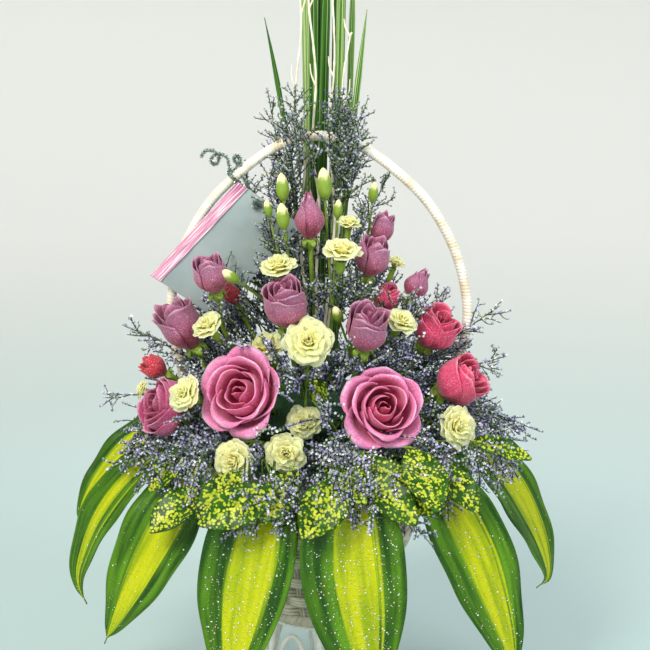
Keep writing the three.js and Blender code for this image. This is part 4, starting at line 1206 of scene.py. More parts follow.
@dataclass(frozen=True)
class Rose:
    """One rose head: its middle, its radius and its length."""

    name: str
    at: Point
    radius: float
    length: float
    opening: Opening
    finish: PetalVelvet
    slot: str
    face: Point | None = None

    rows: int = 13
    columns: int = 13
    thickness: float = 0.5

    def petal(self, whorl: Whorl, middle: float, depth: float, rng: np.random.Generator) -> tuple:
        """Points and tones of one petal, from its foot to its rim.

        Args:
            whorl: The ring of petals that it is in.
            middle: The turn of its middle.
            depth: 0 at the heart, 1 at the outside.
            rng: The seeded generator.

        Returns:
            The petal's grid of points and its grid of tones.
        """
        u = np.linspace(-1, 1, self.columns)[None, :]
        share = np.linspace(0, 1, self.rows)[:, None]
        point = 0.06 * np.exp(-((u / 0.22) ** 2)) * depth
        v = share * (1 - 0.26 * np.abs(u) ** 2.4 + point)
        grown = rng.uniform(0.93, 1.05)
        belly, rim = whorl.belly * self.radius, whorl.rim * self.radius * grown
        foot = 0.16 * self.radius + 0.1 * belly
        swell = np.sin(np.clip(v / 0.5, 0, 1) * math.pi / 2)
        reach = foot + (belly - foot) * swell + (rim - belly) * smoothstep(v, 0.45, 1.0)
        lip = np.clip((v - 0.78) / 0.22, 0, 1.3)
        flare = whorl.curl * self.radius * (1 + 0.5 * rng.uniform(-1, 1))
        reach = reach + flare * lip**1.6 * (0.45 + 1.1 * np.abs(u) ** 1.5)
        height = whorl.top * self.length * v * rng.uniform(0.95, 1.04)
        height = height - 0.9 * flare * lip**2.2 * (0.5 + np.abs(u))
        phase = rng.uniform(0, TAU, 3)
        # One side of a petal tucks under its neighbour, and its middle stands proud.
        reach = reach * (1 + (0.10 * u - 0.10 * u**2) * np.clip(1.6 * v, 0, 1))
        reach = reach + 0.04 * self.radius * np.sin(2.6 * u + phase[0]) * v**2
        height = height + 0.025 * self.length * np.sin(4.4 * u + phase[1]) * v**3
        reach = reach + 0.012 * self.radius * np.sin(9 * u + phase[2]) * lip * depth
        grid = polar(reach, middle + u * whorl.spread * (0.8 + 0.2 * np.sin(math.pi * v)), height)
        return grid, tones_on(grid, 0.5 + 0.5 * u, v, depth, rng.random())

    def build(self, seed: int) -> bpy.types.Object:
        """Makes the head out of its petals.

        Args:
            seed: The seed of its small differences.

        Returns:
            The finished head.
        """
        rng = np.random.default_rng(seed)
        base = np.array(self.at) - facing(self) * self.length / 2
        turned = frame_of(facing(self), rng.uniform(0, TAU))
        whorls = WHORLS[self.opening]
        skin = Skin()
        for layer, whorl in enumerate(whorls):
            start = 2.4 * (layer + 1)
            for k in range(whorl.petals):
                middle = start + TAU * k / whorl.petals + rng.uniform(-0.12, 0.12)
                grid, tones = self.petal(whorl, middle, layer / (len(whorls) - 1), rng)
                skin.sheet(grid @ turned.T + base, tones, self.thickness)
        return settle(skin.build(f"{self.name}_head", [self.finish]), self.name)


ROSES = [
    Rose("rose_01", (-73, -116, 363), 42, 42, Opening.FULL, PINK, "pink_petal", (-0.36, -0.84, 0.42)),
    Rose("rose_02", (60, -125, 352), 40, 40, Opening.FULL, PINK, "pink_petal", (0.2, -0.88, 0.42)),
    Rose("rose_03", (-148, -66, 335), 29, 40, Opening.HALF, DEEP_PINK, "pink_petal"),
    Rose("rose_04", (-31, -94, 444), 23, 48, Opening.HALF, MAUVE, "mauve_petal", (-0.1, -0.38, 0.9)),
    Rose("rose_05", (45, -104, 422), 21, 46, Opening.HALF, MAUVE, "mauve_petal", (0.12, -0.4, 0.88)),
    Rose("rose_06", (-134, -40, 412), 21, 52, Opening.HALF, MAUVE, "mauve_petal", (-0.45, -0.2, 0.85)),
    Rose("rose_07", (-9, -50, 520), 15, 46, Opening.BUD, MAUVE, "mauve_petal"),
    Rose("rose_08", (51, -60, 482), 17, 40, Opening.BARREL, MAUVE, "mauve_petal"),
    Rose("rose_09", (62, -20, 503), 12, 32, Opening.BARREL, MAUVE, "mauve_petal"),
    Rose("rose_10", (96, -36, 452), 13, 34, Opening.BUD, MAUVE, "mauve_petal"),
    Rose("rose_11", (-102, -58, 465), 18, 38, Opening.BARREL, MAUVE, "mauve_petal", (-0.2, -0.3, 0.93)),
    Rose("rose_12", (137, -58, 359), 26, 46, Opening.HALF, HOT, "hot_petal"),
    Rose("rose_13", (114, -35, 407), 24, 42, Opening.HALF, HOT, "hot_petal", (0.45, -0.35, 0.8)),
    Rose("rose_14", (66, -42, 438), 13, 28, Opening.BARREL, HOT, "hot_petal"),
    Rose("rose_15", (-163, -26, 366), 12, 26, Opening.BARREL, CRIMSON, "red_petal"),
    Rose("rose_16", (-86, -27, 441), 10, 26, Opening.BUD, CRIMSON, "red_petal"),
]


# ---- carnations -------------------------------------------------------------------------------


@dataclass(frozen=True)
class Tier:
    """A ring of frilled petals: reach and rise as shares of the head, and half of a petal's fan."""

    reach: float
    rise: float
    petals: int
    spread: float


TIERS = (
    Tier(1.0, 0.60, 5, 0.92), Tier(0.88, 0.76, 5, 0.92), Tier(0.66, 0.90, 4, 1.1),
    Tier(0.44, 1.0, 4, 1.15), Tier(0.24, 1.06, 3, 1.4), Tier(0.08, 1.08, 3, 1.5),
)


@dataclass(frozen=True)
class Carnation:
    """One spray carnation head: its middle and its radius."""

    name: str
    at: Point
    radius: float
    face: Point | None = None

    rows: int = 12
    columns: int = 23
    thickness: float = 0.3

    @property
    def base(self) -> np.ndarray:
        """The middle of the head's underside."""
        return np.array(self.at) - facing(self) * self.radius * 0.45

    def petal(self, reach: float, rise: float, middle: float, spread: float,
              rng: np.random.Generator) -> tuple:
        """Points and tones of one frilled petal.

        Args:
            reach: How far its edge is from the axis.
            rise: How high its edge stands.
            middle: The turn of its middle.
            spread: Half of the angle that it fans over.
            rng: The seeded generator.

        Returns:
            The petal's grid of points and its grid of tones.
        """
        u = np.linspace(-1, 1, self.columns)[None, :]
        share = np.linspace(0, 1, self.rows)[:, None]
        phase = rng.uniform(0, TAU, 4)
        scallop = 0.03 * np.sin(5.5 * u + phase[0]) + 0.03 * np.abs(np.sin(11 * u + phase[3]))
        v = share * (1 - 0.26 * np.abs(u) ** 3 - scallop)
        claw = 0.14 * self.radius
        out = claw + (reach - claw) * v**1.3
        height = rise * (1 - (1 - np.clip(v, 0, 1)) ** 2.3)
        frill = v**2.4
        ruffle = 0.07 + 0.10 * (1 - reach / self.radius)
        height = height + ruffle * self.radius * np.sin(3.6 * u + phase[1]) * frill
        height = height + 0.035 * self.radius * np.sin(9 * u + phase[2]) * frill
        out = out + 0.05 * self.radius * np.cos(6 * u + phase[3]) * frill
        grid = polar(out, middle + u * spread * (0.45 + 0.55 * np.clip(v, 0, 1)), height)
        return grid, tones_on(grid, 0.5 + 0.5 * u, v, reach / self.radius, rng.random())

    def build(self, seed: int) -> bpy.types.Object:
        """Makes the head out of its petals.

        Args:
            seed: The seed of its small differences.

        Returns:
            The finished head.
        """
        rng = np.random.default_rng(seed)
        turned = frame_of(facing(self), rng.uniform(0, TAU))
        skin = Skin()
        for layer, tier in enumerate(TIERS):
            for k in range(tier.petals):
                middle = TAU * (k + 0.5 * (layer % 2)) / tier.petals + rng.uniform(-0.2, 0.2)
                reach = tier.reach * self.radius * rng.uniform(0.92, 1.03)
                rise = tier.rise * self.radius * 0.85 * rng.uniform(0.92, 1.08)
                grid, tones = self.petal(reach, rise, middle, tier.spread, rng)
                skin.sheet(grid @ turned.T + self.base, tones, self.thickness)
        return settle(skin.build(f"{self.name}_head", [CREAM]), self.name)


CARNATIONS = [
    Carnation("carnation_01", (-9, -116, 411), 25, (0, -0.86, 0.5)),
    Carnation("carnation_02", (-50, -56, 392), 22),
    Carnation("carnation_03", (-38, -73, 474), 20, (-0.1, -0.3, 0.95)),
    Carnation("carnation_04", (22, -85, 491), 20, (0.1, -0.3, 0.95)),
    Carnation("carnation_05", (29, -52, 513), 12),
    Carnation("carnation_06", (-105, -76, 418), 17),
    Carnation("carnation_07", (-124, -112, 361), 19),
    Carnation("carnation_08", (-174, -30, 344), 11),
    Carnation("carnation_09", (-78, -138, 304), 22, (-0.35, -0.8, 0.2)),
    Carnation("carnation_10", (-30, -144, 313), 20, (-0.1, -0.9, 0.2)),
    Carnation("carnation_11", (-14, -112, 333), 18),
    Carnation("carnation_12", (78, -80, 423), 17),
    Carnation("carnation_13", (131, -92, 324), 22, (0.45, -0.75, 0.3)),
    Carnation("carnation_14", (142, 24, 366), 12),
    Carnation("carnation_15", (76, 4, 465), 12),
]


# ---- stems, calyxes and buds ------------------------------------------------------------------


@dataclass(frozen=True)
class Spray:
    """A carnation stem that forks to its heads and its closed buds (foot and length of each)."""

    fork: Point
    heads: tuple[str, ...]
    buds: tuple[tuple[float, float, float, float], ...] = ()


SPRAYS = [
    Spray(
        (-24, -25, 412), ("carnation_03",),
        ((-34, -30, 532, 26), (-33, -54, 508, 26), (-47, -42, 518, 16), (-76, -80, 462, 22)),
    ),
    Spray((13, -25, 420), ("carnation_04", "carnation_05"), ((6, -30, 533, 30), (18, -32, 515, 18))),
    Spray((40, 8, 410), ("carnation_15",), ((52, -10, 528, 20),)),
    Spray((-44, -27, 352), ("carnation_02", "carnation_06")),
    Spray((-92, -62, 321), ("carnation_07", "carnation_08", "carnation_09")),
    Spray((-13, -90, 336), ("carnation_01", "carnation_10", "carnation_11")),
    Spray((38, -46, 366), ("carnation_12",), ((20, -84, 424, 20),)),
    Spray((98, -14, 318), ("carnation_13", "carnation_14")),
]
# A closed bud's outline: shares of its widest radius, and of its length.
BUD_OUTLINE = (
    (0.6, 0.05), (0.95, 0.2), (1.08, 0.42), (0.98, 0.62), (0.84, 0.72), (0.74, 0.82), (0.5, 0.93),
    (0.24, 1.0),
)


@dataclass
class BloomStems:
    """All cut stems of the blooms, with the calyxes and buds that they carry."""

    rose_stem: float = 2.2
    carnation_stem: float = 1.5
    hub: float = 16.0
    seed: int = 5

    def stem(self, skin: Skin, points: list, foot: float, top: float) -> None:
        """Adds a round stem through points.

        Args:
            skin: The piece that it goes into.
            points: The points that it passes.
            foot: Its radius at the first one.
            top: Its radius at the last one.
        """
        line = spline(points, 8 * len(points))
        share = np.linspace(0, 1, len(line))
        bumps = 1 + 0.06 * np.sin(share * 31 + foot)
        skin.tube(line, (foot + (top - foot) * share) * bumps, 8, tones_on(line, 0.2 + 0.3 * share, share))

    def turned(self, skin: Skin, base: np.ndarray, face: np.ndarray, profile: list,
               cream: float = 2.0) -> None:
        """Adds a turned green body along a direction.

        Args:
            skin: The piece that it goes into.
            base: Where its profile starts.
            face: The way that it points.
            profile: Radius and height pairs.
            cream: Share of its height above which it is cream.
        """
        outline = np.array(profile, float)
        turn = np.linspace(0, TAU, 13)
        grid = polar(outline[:, :1] * (1 + 0.04 * np.cos(5 * turn)), turn, outline[:, 1:])
        share = (outline[:, 1:] - outline[0, 1]) / (outline[-1, 1] - outline[0, 1])
        # The calyx ends in five teeth, so the cream shows lower between them.
        pale = smoothstep(share + 0.05 * np.cos(5 * turn), cream, cream + 0.12)
        skin.sheet(grid @ frame_of(face).T + base, tones_on(grid, 0.75, 0, pale))

    def sepals(self, skin: Skin, rose: Rose, base: np.ndarray, rng: np.random.Generator) -> None:
        """Adds five sepals that bend back from under a rose.

        Args:
            skin: The piece that they go into.
            rose: The rose above them.
            base: Where they spring from.
            rng: The seeded generator.
        """
        matrix = frame_of(facing(rose))
        length = max(6.0, rose.length * 0.2)
        across = np.linspace(-1, 1, 5)[None, :]
        share = np.linspace(0, 1, 9)[:, None]
        for k in range(5):
            turn = TAU * k / 5 + rng.uniform(-0.15, 0.15)
            droop = rng.uniform(0.7, 1.2)
            out = 0.3 * rose.radius + 0.4 * length * np.sin(share * 2.4)
            height = -0.5 - 0.85 * length * share**1.3 * droop
            swell = np.sin(math.pi * np.clip(0.25 + 0.75 * share, 0, 1))
            side = (0.17 * rose.radius * swell + 0.25) * across
            x = out * np.cos(turn) - side * np.sin(turn)
            y = out * np.sin(turn) + side * np.cos(turn)
            grid = np.stack([x, y, height + 0.35 * np.abs(side)], axis=-1)
            skin.sheet(grid @ matrix.T + base, np.array([0.55, 0, 0, 0.5]), 0.6)

    def rose_parts(self, skin: Skin) -> None:
        """Adds the stem, cup and sepals of every rose.

        Args:
            skin: The piece that they go into.
        """
        rng = np.random.default_rng(self.seed)
        for rose in ROSES:
            face = facing(rose)
            base = np.array(rose.at) - face * rose.length / 2
            cup = rose.radius * 0.36
            profile = [
                (2.0, -13), (2.6, -11), (cup * 0.75, -8), (cup, -4), (cup * 0.95, -0.6), (0.2, -0.4)
            ]
            self.turned(skin, base, face, profile)
            self.sepals(skin, rose, base - 1.5 * face, rng)
            foot = base - 10 * face
            points = [foot]
            if rose.face:
                points.insert(0, foot - face * 0.22 * np.linalg.norm(foot - FOCUS))
            points.insert(0, FOCUS + unit(points[0] - FOCUS) * self.hub)
            self.stem(skin, points, self.rose_stem, self.rose_stem)

    def spray_parts(self, skin: Skin) -> None:
        """Adds the forked stems of the carnations, their calyxes and their buds.

        Args:
            skin: The piece that they go into.
        """
        by_name = {head.name: head for head in CARNATIONS}
        thin = self.carnation_stem * 0.8
        for spray in SPRAYS:
            fork = np.array(spray.fork, float)
            root = FOCUS + unit(fork - FOCUS) * self.hub
            self.stem(skin, [root, fork], self.carnation_stem, self.carnation_stem * 1.2)
            for name in spray.heads:
                head = by_name[name]
                cup = head.radius * 0.24
                self.stem(skin, [fork, head.base - 15 * facing(head)], thin, thin)
                profile = [
                    (0.9, -15.5), (thin * 1.4, -15), (cup * 0.8, -12), (cup, -8), (cup * 0.95, -3),
                    (cup * 1.15, 0.2),
                ]
                self.turned(skin, head.base, facing(head), profile)
            for x, y, z, length in spray.buds:
                foot = np.array([x, y, z], float)
                self.stem(skin, [fork, foot], thin, thin)
                middle = [(wide * length * 0.23, rise * length) for wide, rise in BUD_OUTLINE]
                profile = [(thin, -1), *middle, (0.2, length * 1.03)]
                self.turned(skin, foot, unit(foot - fork), profile, cream=0.66)

    def build(self) -> bpy.types.Object:
        """Makes the stems.

        Returns:
            The finished stems.
        """
        skin = Skin()
        self.rose_parts(skin)
        self.spray_parts(skin)
        return settle(skin.build("bloom_stems_cut", [GREEN_STEM]), "bloom_stems")


# ---- leaves -----------------------------------------------------------------------------------


@dataclass(frozen=True)
class Dracaena:
    """One long striped leaf, shaped along its midrib.

    The band's middle and half width are shares of the leaf's half width.
    """

    name: str
    width: float
    look: Point
    line: tuple[Point, ...]
    band: tuple[float, float] = (0.0, 0.34)
    glitter: int = 90

    root_width: float = 9.0
    root_height: float = 256.0
    root_depth: float = 62.0
    foam_edge: float = 104.0
    rows: int = 64
    columns: int = 17
    thickness: float = 0.8

    def root(self) -> np.ndarray:
        """Lays the root towards the axis.

        Returns:
            Its points, from inside the foam to where it leaves it.
        """
        first = np.array(self.line[0], float)
        reach = np.hypot(first[0], first[1])
        points = []
        for radius in (self.root_depth, self.foam_edge):
            height = self.root_height + (first[2] - self.root_height) * radius / reach
            points.append([*(first[:2] / reach * radius), height])
        return np.array(points)

    def surface(self, rng: np.random.Generator) -> tuple[np.ndarray, np.ndarray]:
        """Shapes the leaf with its root.

        Args:
            rng: The seeded generator.

        Returns:
            The leaf's grid of points and its grid of tones.
        """
        points = spline(self.line, self.rows)
        t = np.linspace(0, 1, self.rows)
        swell = np.sin(math.pi * np.minimum(1, 0.04 + t) ** 0.82) ** 0.75
        grown = self.root_width + (self.width * swell - self.root_width) * np.clip(t / 0.14, 0, 1)
        half = np.maximum(0.5, 0.5 * grown)
        across = unit(np.cross(unit(np.gradient(points, axis=0)), np.array(self.look, float)))
        root = spline(self.root(), 8)[:-1]
        points = np.vstack([root, points])
        half = np.concatenate([np.full(len(root), self.root_width / 2), half])[:, None]
        side = np.array([-root[0][1], root[0][0], 0.0])
        side = unit(side) * np.sign(side @ across[0])
        across = np.vstack([np.tile(side, (len(root), 1)), across])
        normal = unit(np.cross(across, unit(np.gradient(points, axis=0))))
        u = np.linspace(-1, 1, self.columns)[None]
        share = np.clip((np.arange(len(points)) - len(root)) / self.rows, 0, 1)[:, None]
        phase = rng.uniform(0, TAU, 2)
        channel = 0.12 * half * (np.abs(u) ** 1.4 - 1)
        wave = 1.5 * np.sin(share * 21 + phase[0] + np.sign(u) * 1.1) * np.abs(u) ** 3
        wave = wave * smoothstep(share, 0.1, 0.3) * np.minimum(1, half / 20)
        grid = points[:, None] + across[:, None] * (half * u)[..., None]
        grid = grid + normal[:, None] * (channel + wave)[..., None]
        centre = self.band[0] * (1 - 0.4 * share)
        width = self.band[1] * (0.55 + 0.6 * np.sin(math.pi * np.clip(share * 0.9 + 0.1, 0, 1)) ** 0.6)
        off = np.abs(u - centre) / np.maximum(width, 0.05)
        return grid, tones_on(grid, 0.5 + 0.5 * u, share, np.clip(off * 0.5, 0, 1), rng.random())

    def sprinkle(self, skin: Skin, grid: np.ndarray, rng: np.random.Generator) -> None:
        """Adds foil flakes on the leaf's face.

        Args:
            skin: The piece that they go into.
            grid: The leaf's grid of points.
            rng: The seeded generator.
        """
        rows, columns = grid.shape[:2]
        i = rng.integers(12, rows - 3, self.glitter)
        j = rng.integers(1, columns - 2, self.glitter)
        a, b = rng.random((2, self.glitter, 1))
        low = grid[i, j] * (1 - a) + grid[i, j + 1] * a
        high = grid[i + 1, j] * (1 - a) + grid[i + 1, j + 1] * a
        spot = low * (1 - b) + high * b
        normal = unit(np.cross(grid[i, j + 1] - grid[i, j], grid[i + 1, j] - grid[i, j]))
        normal = normal * np.sign(np.sum(normal * np.array(self.look), axis=1, keepdims=True))
        flake = polar(1.0, np.arange(6) * TAU / 6, 0.0)
        shape = np.vstack([flake, flake + [0, 0, 0.25]])
        faces = [[0, 5, 4, 3], [0, 3, 2, 1], [6, 7, 8, 9], [6, 9, 10, 11]]
        faces += [[k, (k + 1) % 6, (k + 1) % 6 + 6, k + 6] for k in range(6)]
        tones = tones_on(spot, rng.random(self.glitter))
        lean = unit(normal + rng.normal(0, 0.25, (self.glitter, 3)))
        sizes = 0.34 + 0.5 * rng.random(self.glitter) ** 3
        spins = rng.uniform(0, TAU, self.glitter)
        skin.scatter(shape, np.array(faces), spot + normal * 0.75, lean, sizes, spins, tones, 1)

    def build(self, seed: int) -> bpy.types.Object:
        """Makes the leaf with its glitter.

        Args:
            seed: The seed of its ripples and flakes.

        Returns:
            The finished leaf.
        """
        rng = np.random.default_rng(seed)
        grid, tones = self.surface(rng)
        skin = Skin()
        skin.sheet(grid, tones, self.thickness)
        self.sprinkle(skin, grid, rng)
        return settle(skin.build(f"{self.name}_blade", [STRIPED, GLITTER]), self.name)


DRACAENA = [
    Dracaena(
        "dracaena_01", 52, (-0.5, -0.7, 0.5),
        ((-150, 28, 300), (-192, 24, 274), (-226, 18, 238), (-246, 12, 204), (-240, 4, 190)),
         (0.1, 0.36), 20,
    ),
    Dracaena(
        "dracaena_02", 44, (-0.5, -0.8, 0.3),
        ((-146, -44, 298), (-190, -58, 262), (-220, -62, 222), (-238, -60, 176), (-240, -58, 150),
         (-232, -58, 130)),
        (0.0, 0.24), 20,
    ),
    Dracaena(
        "dracaena_03", 80, (-0.6, -0.8, 0.1),
        ((-112, -108, 298), (-138, -128, 256), (-166, -140, 206), (-192, -142, 150), (-203, -140, 124)),
        (-0.05, 0.36), 60,
    ),
    Dracaena(
        "dracaena_04", 88, (-0.25, -1, 0.1),
        ((-38, -142, 291), (-54, -170, 260), (-68, -184, 206), (-78, -190, 142), (-86, -188, 84)),
        (-0.08, 0.42), 520,
    ),
    Dracaena(
        "dracaena_05", 98, (0.2, -1, 0.1),
        ((26, -152, 298), (29, -177, 268), (32, -188, 216), (42, -193, 146), (50, -188, 76)),
         (-0.06, 0.36), 760,
    ),
    Dracaena(
        "dracaena_06", 78, (0.5, -0.85, 0.1),
        ((104, -118, 298), (122, -140, 268), (152, -150, 208), (178, -150, 130), (186, -146, 88)),
         (-0.05, 0.38), 260,
    ),
    Dracaena(
        "dracaena_07", 58, (0.6, -0.7, 0.4),
        ((148, -24, 296), (180, -16, 262), (206, -8, 226), (230, 0, 174), (238, 4, 136), (226, 4, 122)),
        (-0.1, 0.36), 40,
    ),
    Dracaena(
        "dracaena_08", 74, (-0.5, 0.85, 0.2),
        ((-96, 122, 298), (-116, 146, 262), (-138, 164, 210), (-152, 168, 150), (-154, 164, 118)),
         (0.05, 0.36), 40,
    ),
    Dracaena(
        "dracaena_09", 82, (0, 1, 0.15),
        ((0, 156, 298), (0, 176, 264), (2, 192, 208), (4, 196, 146), (4, 192, 108)), (0.0, 0.38), 60,
    ),
    Dracaena(
        "dracaena_10", 74, (0.5, 0.85, 0.2),
        ((98, 120, 298), (118, 144, 262), (140, 162, 210), (156, 166, 150), (158, 162, 120)),
         (-0.05, 0.36), 40,
    ),
]


@dataclass(frozen=True)
class Leaflet:
    """One gold-dust leaf: base, tip, width and the way that it looks."""

    base: Point
    tip: Point
    width: float
    look: Point

    def surface(self, rng: np.random.Generator) -> tuple[np.ndarray, np.ndarray]:
        """Shapes the leaf, with a fold along its middle and a quilted blade.

        Args:
            rng: The seeded generator.

        Returns:
            The leaf's grid of points and its grid of tones.
        """
        base, tip, look = (np.array(p, float) for p in (self.base, self.tip, self.look))
        points = spline([base, (base + tip) / 2 + unit(look) * 5, tip], 34)
        t = np.linspace(0, 1, len(points))[:, None]
        half = np.maximum(0.4, 0.5 * self.width * np.sin(math.pi * (0.04 + 0.95 * t)) ** 0.8)
        along = unit(np.gradient(points, axis=0))
        across = unit(np.cross(along, look))
        normal = unit(np.cross(across, along))
        u = np.linspace(-1, 1, 15)[None]
        phase = rng.uniform(0, TAU)
        fold = half * 0.16 * (np.abs(u) - 1)
        wave = 0.9 * np.sin(t * 17 + phase + np.sign(u)) * np.abs(u) ** 2
        quilt = 0.35 * np.cos(t * 40 - 7 * np.abs(u)) * (1 - np.abs(u))
        grid = points[:, None] + across[:, None] * (half * u)[..., None]
        grid = grid + normal[:, None] * (fold + wave + quilt)[..., None]
        return grid, tones_on(grid, 0.5 + 0.5 * u, t, 0, rng.random())


def trunk(fork: np.ndarray) -> np.ndarray:
    """A sprig's stem, from its cut end in the foam to its fork."""
    return spline([FOCUS + unit(fork - FOCUS) * 41, fork], 8)


@dataclass(frozen=True)
class GoldDust:
    """A sprig of gold-dust leaves on one stem."""

    name: str
    fork: Point
    leaves: tuple[Leaflet, ...]
    tucked: tuple[Leaflet, ...] = ()

    def build(self, seed: int) -> bpy.types.Object:
        """Makes the sprig.

        Args:
            seed: The seed of its small differences.

        Returns:
            The finished sprig.
        """
        rng = np.random.default_rng(seed)
        skin = Skin()
        fork = np.array(self.fork, float)
        skin.tube(trunk(fork), 1.6, 8, EVEN, 1)
        for leaf in (*self.leaves, *self.tucked):
            grid, tones = leaf.surface(rng)
            skin.sheet(grid, tones, 0.7)
            base = np.array(leaf.base, float)
            middle = (fork + base) / 2 + np.array([0, 0, 3.0])
            skin.tube(spline([fork, middle, base], 12), 1.1, 6, EVEN, 1)
        return settle(skin.build(f"{self.name}_sprig", [SPECKLED, GREEN_STEM]), self.name)


GOLD_DUST = [
    GoldDust(
        "gold_dust_left", (-60, -100, 312),
        (
            Leaflet((-38, -178, 289), (-107, -198, 263), 38, (-0.1, -1, 0.5)),
            Leaflet((-107, -144, 281), (-154, -168, 245), 36, (-0.4, -0.9, 0.6)),
        ),
        (
            Leaflet((-20, -160, 300), (-52, -192, 262), 32, (0.0, -1, 0.4)),
            Leaflet((-70, -150, 296), (-110, -178, 262), 32, (-0.2, -1, 0.5)),
            Leaflet((-128, -110, 300), (-158, -130, 272), 28, (-0.5, -0.8, 0.5)),
        ),
    ),
    GoldDust(
        "gold_dust_right", (30, -108, 304),
        (
            Leaflet((22, -184, 301), (-14, -203, 252), 42, (0, -1, 0.5)),
            Leaflet((20, -150, 314), (104, -184, 268), 42, (0.2, -1, 0.7)),
            Leaflet((86, -142, 318), (106, -200, 276), 42, (0.3, -1, 0.6)),
            Leaflet((146, -84, 308), (204, -88, 290), 24, (0.2, -0.6, 0.8)),
        ),
        (
            Leaflet((-6, -100, 352), (6, -128, 376), 26, (0.0, -0.9, 0.4)),
            Leaflet((46, -164, 300), (88, -196, 262), 34, (0.1, -1, 0.4)),
            Leaflet((8, -150, 312), (42, -192, 280), 32, (0.1, -1, 0.5)),
            Leaflet((112, -132, 298), (146, -160, 262), 32, (0.5, -1, 0.5)),
        ),
    ),
    GoldDust(
        "gold_dust_back", (-6, 124, 312),
        (
            Leaflet((-40, 138, 322), (-92, 156, 318), 38, (-0.2, 0.6, 0.9)),
            Leaflet((26, 142, 322), (84, 160, 320), 38, (0.2, 0.6, 0.9)),
        ),
    ),
]


@dataclass(frozen=True)
class Blade:
    """One grass blade: foot, tip, width and how far its middle bows along X."""

    foot: tuple[float, float]
    tip: Point
    width: float
    bow: float


@dataclass
class TallGrass:
    """Grass blades that rise from one sheath in the foam."""

    foot: Point = (0, 40, 300)
    radius: float = 17.0
    top: float = 330.0
    seed: int = 3
    blades: tuple[Blade, ...] = (
        Blade((-12, 33), (-15, 24, 796), 8, 1),
        Blade((-5, 31), (-5, 26, 800), 8, 0),
        Blade((2, 32), (9, 22, 790), 9, -1),
        Blade((9, 33), (23, 28, 798), 9, 1),
        Blade((13, 37), (47, 24, 712), 6, -2),
        Blade((-13, 41), (-53, 26, 704), 5, 5),
        Blade((-7, 45), (-12, 42, 786), 7, -1),
        Blade((0, 46), (3, 48, 800), 7, 0),
        Blade((7, 45), (18, 46, 792), 8, 1),
        Blade((13, 44), (34, 40, 776), 6, 2),
    )

    def build(self) -> bpy.types.Object:
        """Makes the blades and their sheath.

        Returns:
            The finished grass.
        """
        rng = np.random.default_rng(self.seed)
        skin = Skin()
        sheath = spline([self.foot, (*self.foot[:2], self.top)], 5)
        widths = np.linspace(0.9, 1.0, 5) * self.radius
        skin.tube(sheath, widths, 20, np.array([0.5, 0.5, 0.1, 0.5]))
        t = np.linspace(0, 1, 60)[:, None]
        u = np.linspace(-1, 1, 9)[None, :]
        for blade in self.blades:
            foot = np.array([*blade.foot, self.top - 6.0])
            middle = foot + (np.array(blade.tip, float) - foot) * t
            middle[:, :1] += blade.bow * 8 * t * (1 - t)
            taper = np.minimum(np.minimum(1, 0.6 + 1.4 * t), 4.2 * (1 - t) ** 0.8)
            half = np.maximum(0.35, 0.5 * blade.width * taper)
            twist = rng.uniform(-0.35, 0.35) + 0.5 * rng.uniform(-1, 1) * t
            x = half * u * np.cos(twist)
            y = half * u * np.sin(twist) + 0.22 * half * (1 - np.abs(u) ** 1.5)
            grid = middle[:, None] + np.stack([x, y, 0 * x], axis=-1)
            tones = tones_on(grid, 0.5 + 0.5 * u, t, rng.uniform(-0.12, 0.3), rng.random())
            skin.sheet(grid, tones, 0.6)
        return settle(skin.build("tall_grass_blades", [GRASS]), "grass")


@dataclass
class BleachedWillow:
    """Peeled willow twigs that fork above the foam and zigzag up."""

    fork: Point = (0, 18, 352)
    foot_z: float = 300.0
    radius: float = 1.7
    tip_radius: float = 0.8
    highest: float = 795.0
    steps: int = 90
    seed: int = 8
    twigs: tuple[tuple[Point, ...], ...] = (
        (
            (-10, 15, 410), (-19, 13, 500), (-14, 12, 560), (-23, 12, 625), (-17, 12, 700), (-22, 12, 786),
        ),
        ((-3, 14, 440), (0, 11, 520), (-7, 10, 580), (-3, 10, 650), (-10, 10, 720), (-12, 10, 792)),
        ((9, 15, 430), (15, 14, 510), (10, 14, 590), (15, 14, 660), (13, 14, 728)),
        ((16, 17, 440), (21, 17, 520), (27, 17, 600), (24, 17, 640), (32, 17, 690)),
    )

    def build(self) -> bpy.types.Object:
        """Makes the twigs with their knots and spurs.

        Returns:
            The finished twigs.
        """
        rng = np.random.default_rng(self.seed)
        skin = Skin()
        fork = np.array(self.fork, float)
        skin.tube(np.array([[*fork[:2], self.foot_z], fork]), np.array([2.4, 2.6]), 10, EVEN)
        for twig in self.twigs:
            run = spline([fork, *twig], self.steps)
            run[1:-1, :2] += np.cumsum(rng.normal(0, 0.16, (self.steps - 2, 2)), axis=0) * 0.5
            share = np.linspace(0, 1, self.steps)
            knots = 1 + 0.28 * np.exp(-(((share * 11 + 0.5) % 1 - 0.5) ** 2) / 0.006)
            skin.tube(run, (self.radius * (1 - share) + self.tip_radius * share) * knots, 9, EVEN)
            for knot in range(3, len(twig) + 1):
                start = run[int(knot / len(twig) * (self.steps - 1)) - 1]
                side = np.sign(rng.uniform(-1, 1))
                way = np.array([side * rng.uniform(3, 7), rng.uniform(-2, 1), rng.uniform(14, 28)])
                tip = start + way
                if tip[2] < self.highest:
                    bend = (start + tip) / 2 + np.array([side * 1.5, 0, 0])
                    skin.tube(spline([start, bend, tip], 12), np.linspace(1.1, 0.5, 12), 7, EVEN)
        return settle(skin.build("bleached_willow_twigs", [WILLOW_BARK]), "willow")


# ---- sea lavender -----------------------------------------------------------------------------


